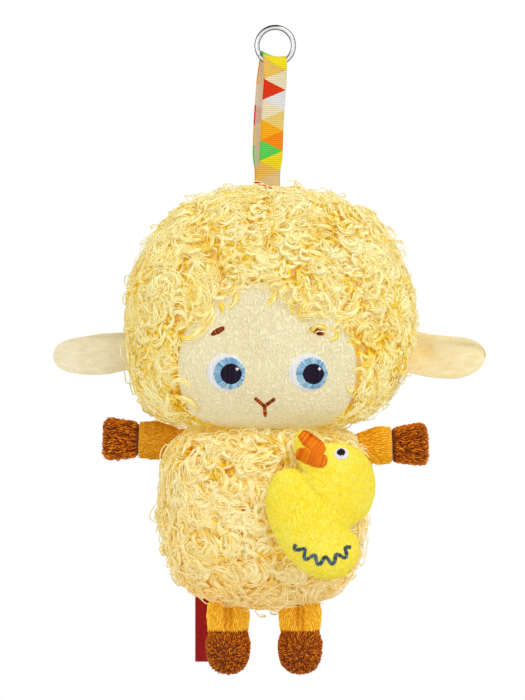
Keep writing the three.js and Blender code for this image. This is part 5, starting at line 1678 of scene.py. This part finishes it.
ring_shares = np.array([0.02, 0.1, 0.2, 0.3, 0.4, 0.5, 0.6, 0.68, 0.76, 0.83, 0.89, 0.935, 0.965, 0.985, 1.0])
star_x, star_z = np.moveaxis(duck_outline[None] * ring_shares[:, None, None], -1, 0)
back_y = duck_bend(star_x) + duck_depth(star_x, star_z, back_bulge)
back = np.stack([star_x, back_y, star_z], axis=-1) + duck_centre
shell = np.concatenate([on_duck(star_x, star_z), back[::-1]])
duck_uv = (shell[..., [0, 2]] - duck_centre[[0, 2]]) / 100
duck_body = mesh_piece("duck_velour", shell, grid_quads(*shell.shape[:2], closed=True), duck_uv)
facing_outwards(duck_body, close=True)
yellow_velour = velour(
    "yellow_velour",
    deep=srgb(246, 206, 8),
    middle=srgb(255, 227, 36),
    light=srgb(255, 242, 96),
    streak=(300, 300, 300),
    streak_share=0.4,
    crinkle=1.5,
    painted_glow=0.05,
)
finished(duck_body, yellow_velour, "yellow_velour", "torso", "duck_front_panel", "duck_back_panel", fill=0.8)


def lobe(share, length, width, degrees, rng, pitch=0.42, blunt=2.0):
    """Stitches across an oval lobe, with jagged ends; its place and sizes are shares of the duck's height."""
    length, width = length * duck_height, width * duck_height
    turn = math.radians(degrees)
    run = np.array((math.cos(turn), math.sin(turn)))
    upward = np.array((-run[1], run[0]))
    at = np.arange(-length / 2 + 0.2, length / 2, pitch)
    reach = width / 2 * np.maximum(1 - np.abs(2 * at / length) ** blunt, 0.04) ** (1 / blunt)
    middle = np.array(share) * duck_height + at[:, None] * run
    low = middle - upward * (reach + rng.uniform(-0.5, 0.35, len(at)))[:, None]
    high = middle + upward * (reach + rng.uniform(-0.4, 0.35, len(at)))[:, None]
    return low, high


rng = np.random.default_rng(15)
orange_thread = thread("orange_thread", srgb(222, 84, 0), srgb(248, 126, 0), srgb(255, 166, 14))
grey_thread = thread("grey_thread", srgb(38, 54, 68), srgb(68, 92, 112), srgb(122, 150, 170))
for word, share, length, width, degrees in (
    ("upper", (-0.094, 0.436), 0.2, 0.096, -40),
    ("lower", (-0.1, 0.335), 0.212, 0.102, -18),
):
    low, high = lobe(share, length, width, degrees, rng, blunt=3.6)
    beak = stitched(f"duck_beak_{word}_stitches", low, high, 0.56, 0.9, on_duck, 85, lengthwise=9)
    finished(beak, orange_thread, "orange_thread", "torso", f"duck_beak_{word}")
low, high = lobe((0.103, 0.36), 0.097, 0.082, 0, rng, 0.38)
eye = stitched("duck_eye_stitches", low, high, 0.48, 0.35, on_duck, 90, lengthwise=7)
finished(eye, white_thread, "white_thread", "torso", "duck_eye_white")
low, high = lobe((0.101, 0.37), 0.058, 0.047, 0, rng, 0.38)
pupil = stitched("duck_pupil_stitches", low, high, 0.48, 0.35, over(on_duck, 0.3), 91, lengthwise=7)
finished(pupil, dark_thread, "dark_thread", "torso", "duck_pupil")

# The wavy line bends round the duck's belly, with five waves; its stitches overlap a little
wave_share = np.linspace(0, 1, 60)
wave_turn = np.radians(-94 + 112 * (wave_share - 0.5))
wave_radius = duck_height * (0.222 + 0.028 * np.sin(2 * math.pi * 5 * wave_share))
wave_line = np.stack([np.cos(wave_turn), np.sin(wave_turn)], axis=1) * wave_radius[:, None]
wave_line += np.array((-0.01, -0.13)) * duck_height
starts, ends = wave_line[:-1], wave_line[1:] + np.diff(wave_line, axis=0) * 0.25
wave_stitches = stitched("duck_wave_stitches", starts, ends, 1.6, 0.6, on_duck, 92)
finished(wave_stitches, grey_thread, "grey_thread", "torso", "duck_wave_stitch")

# Fillings
# Loose polyester fibre inside the head, the body, the limbs and the duck, out of sight while the seams hold.
fibre, tree, shader = new_material("filling_fibre")
wisps = noise(tree, stretched(tree, object_place(tree), (160, 160, 420)), 1.0, 5, 0.7)
wired(tree, shader, {
    "Base Color": ramp(tree, wisps, [(0.3, srgb(222, 222, 214)), (0.7, srgb(250, 250, 246))]),
    "Roughness": 0.95,
    "Sheen Weight": 0.4,
    "Normal": raised(tree, wisps, 0.0012, 0.9),
})
for piece in bpy.data.objects:
    if piece.type == "MESH" and piece.name.endswith("_filling"):
        piece.data.materials.clear()
        piece.data.materials.append(fibre)
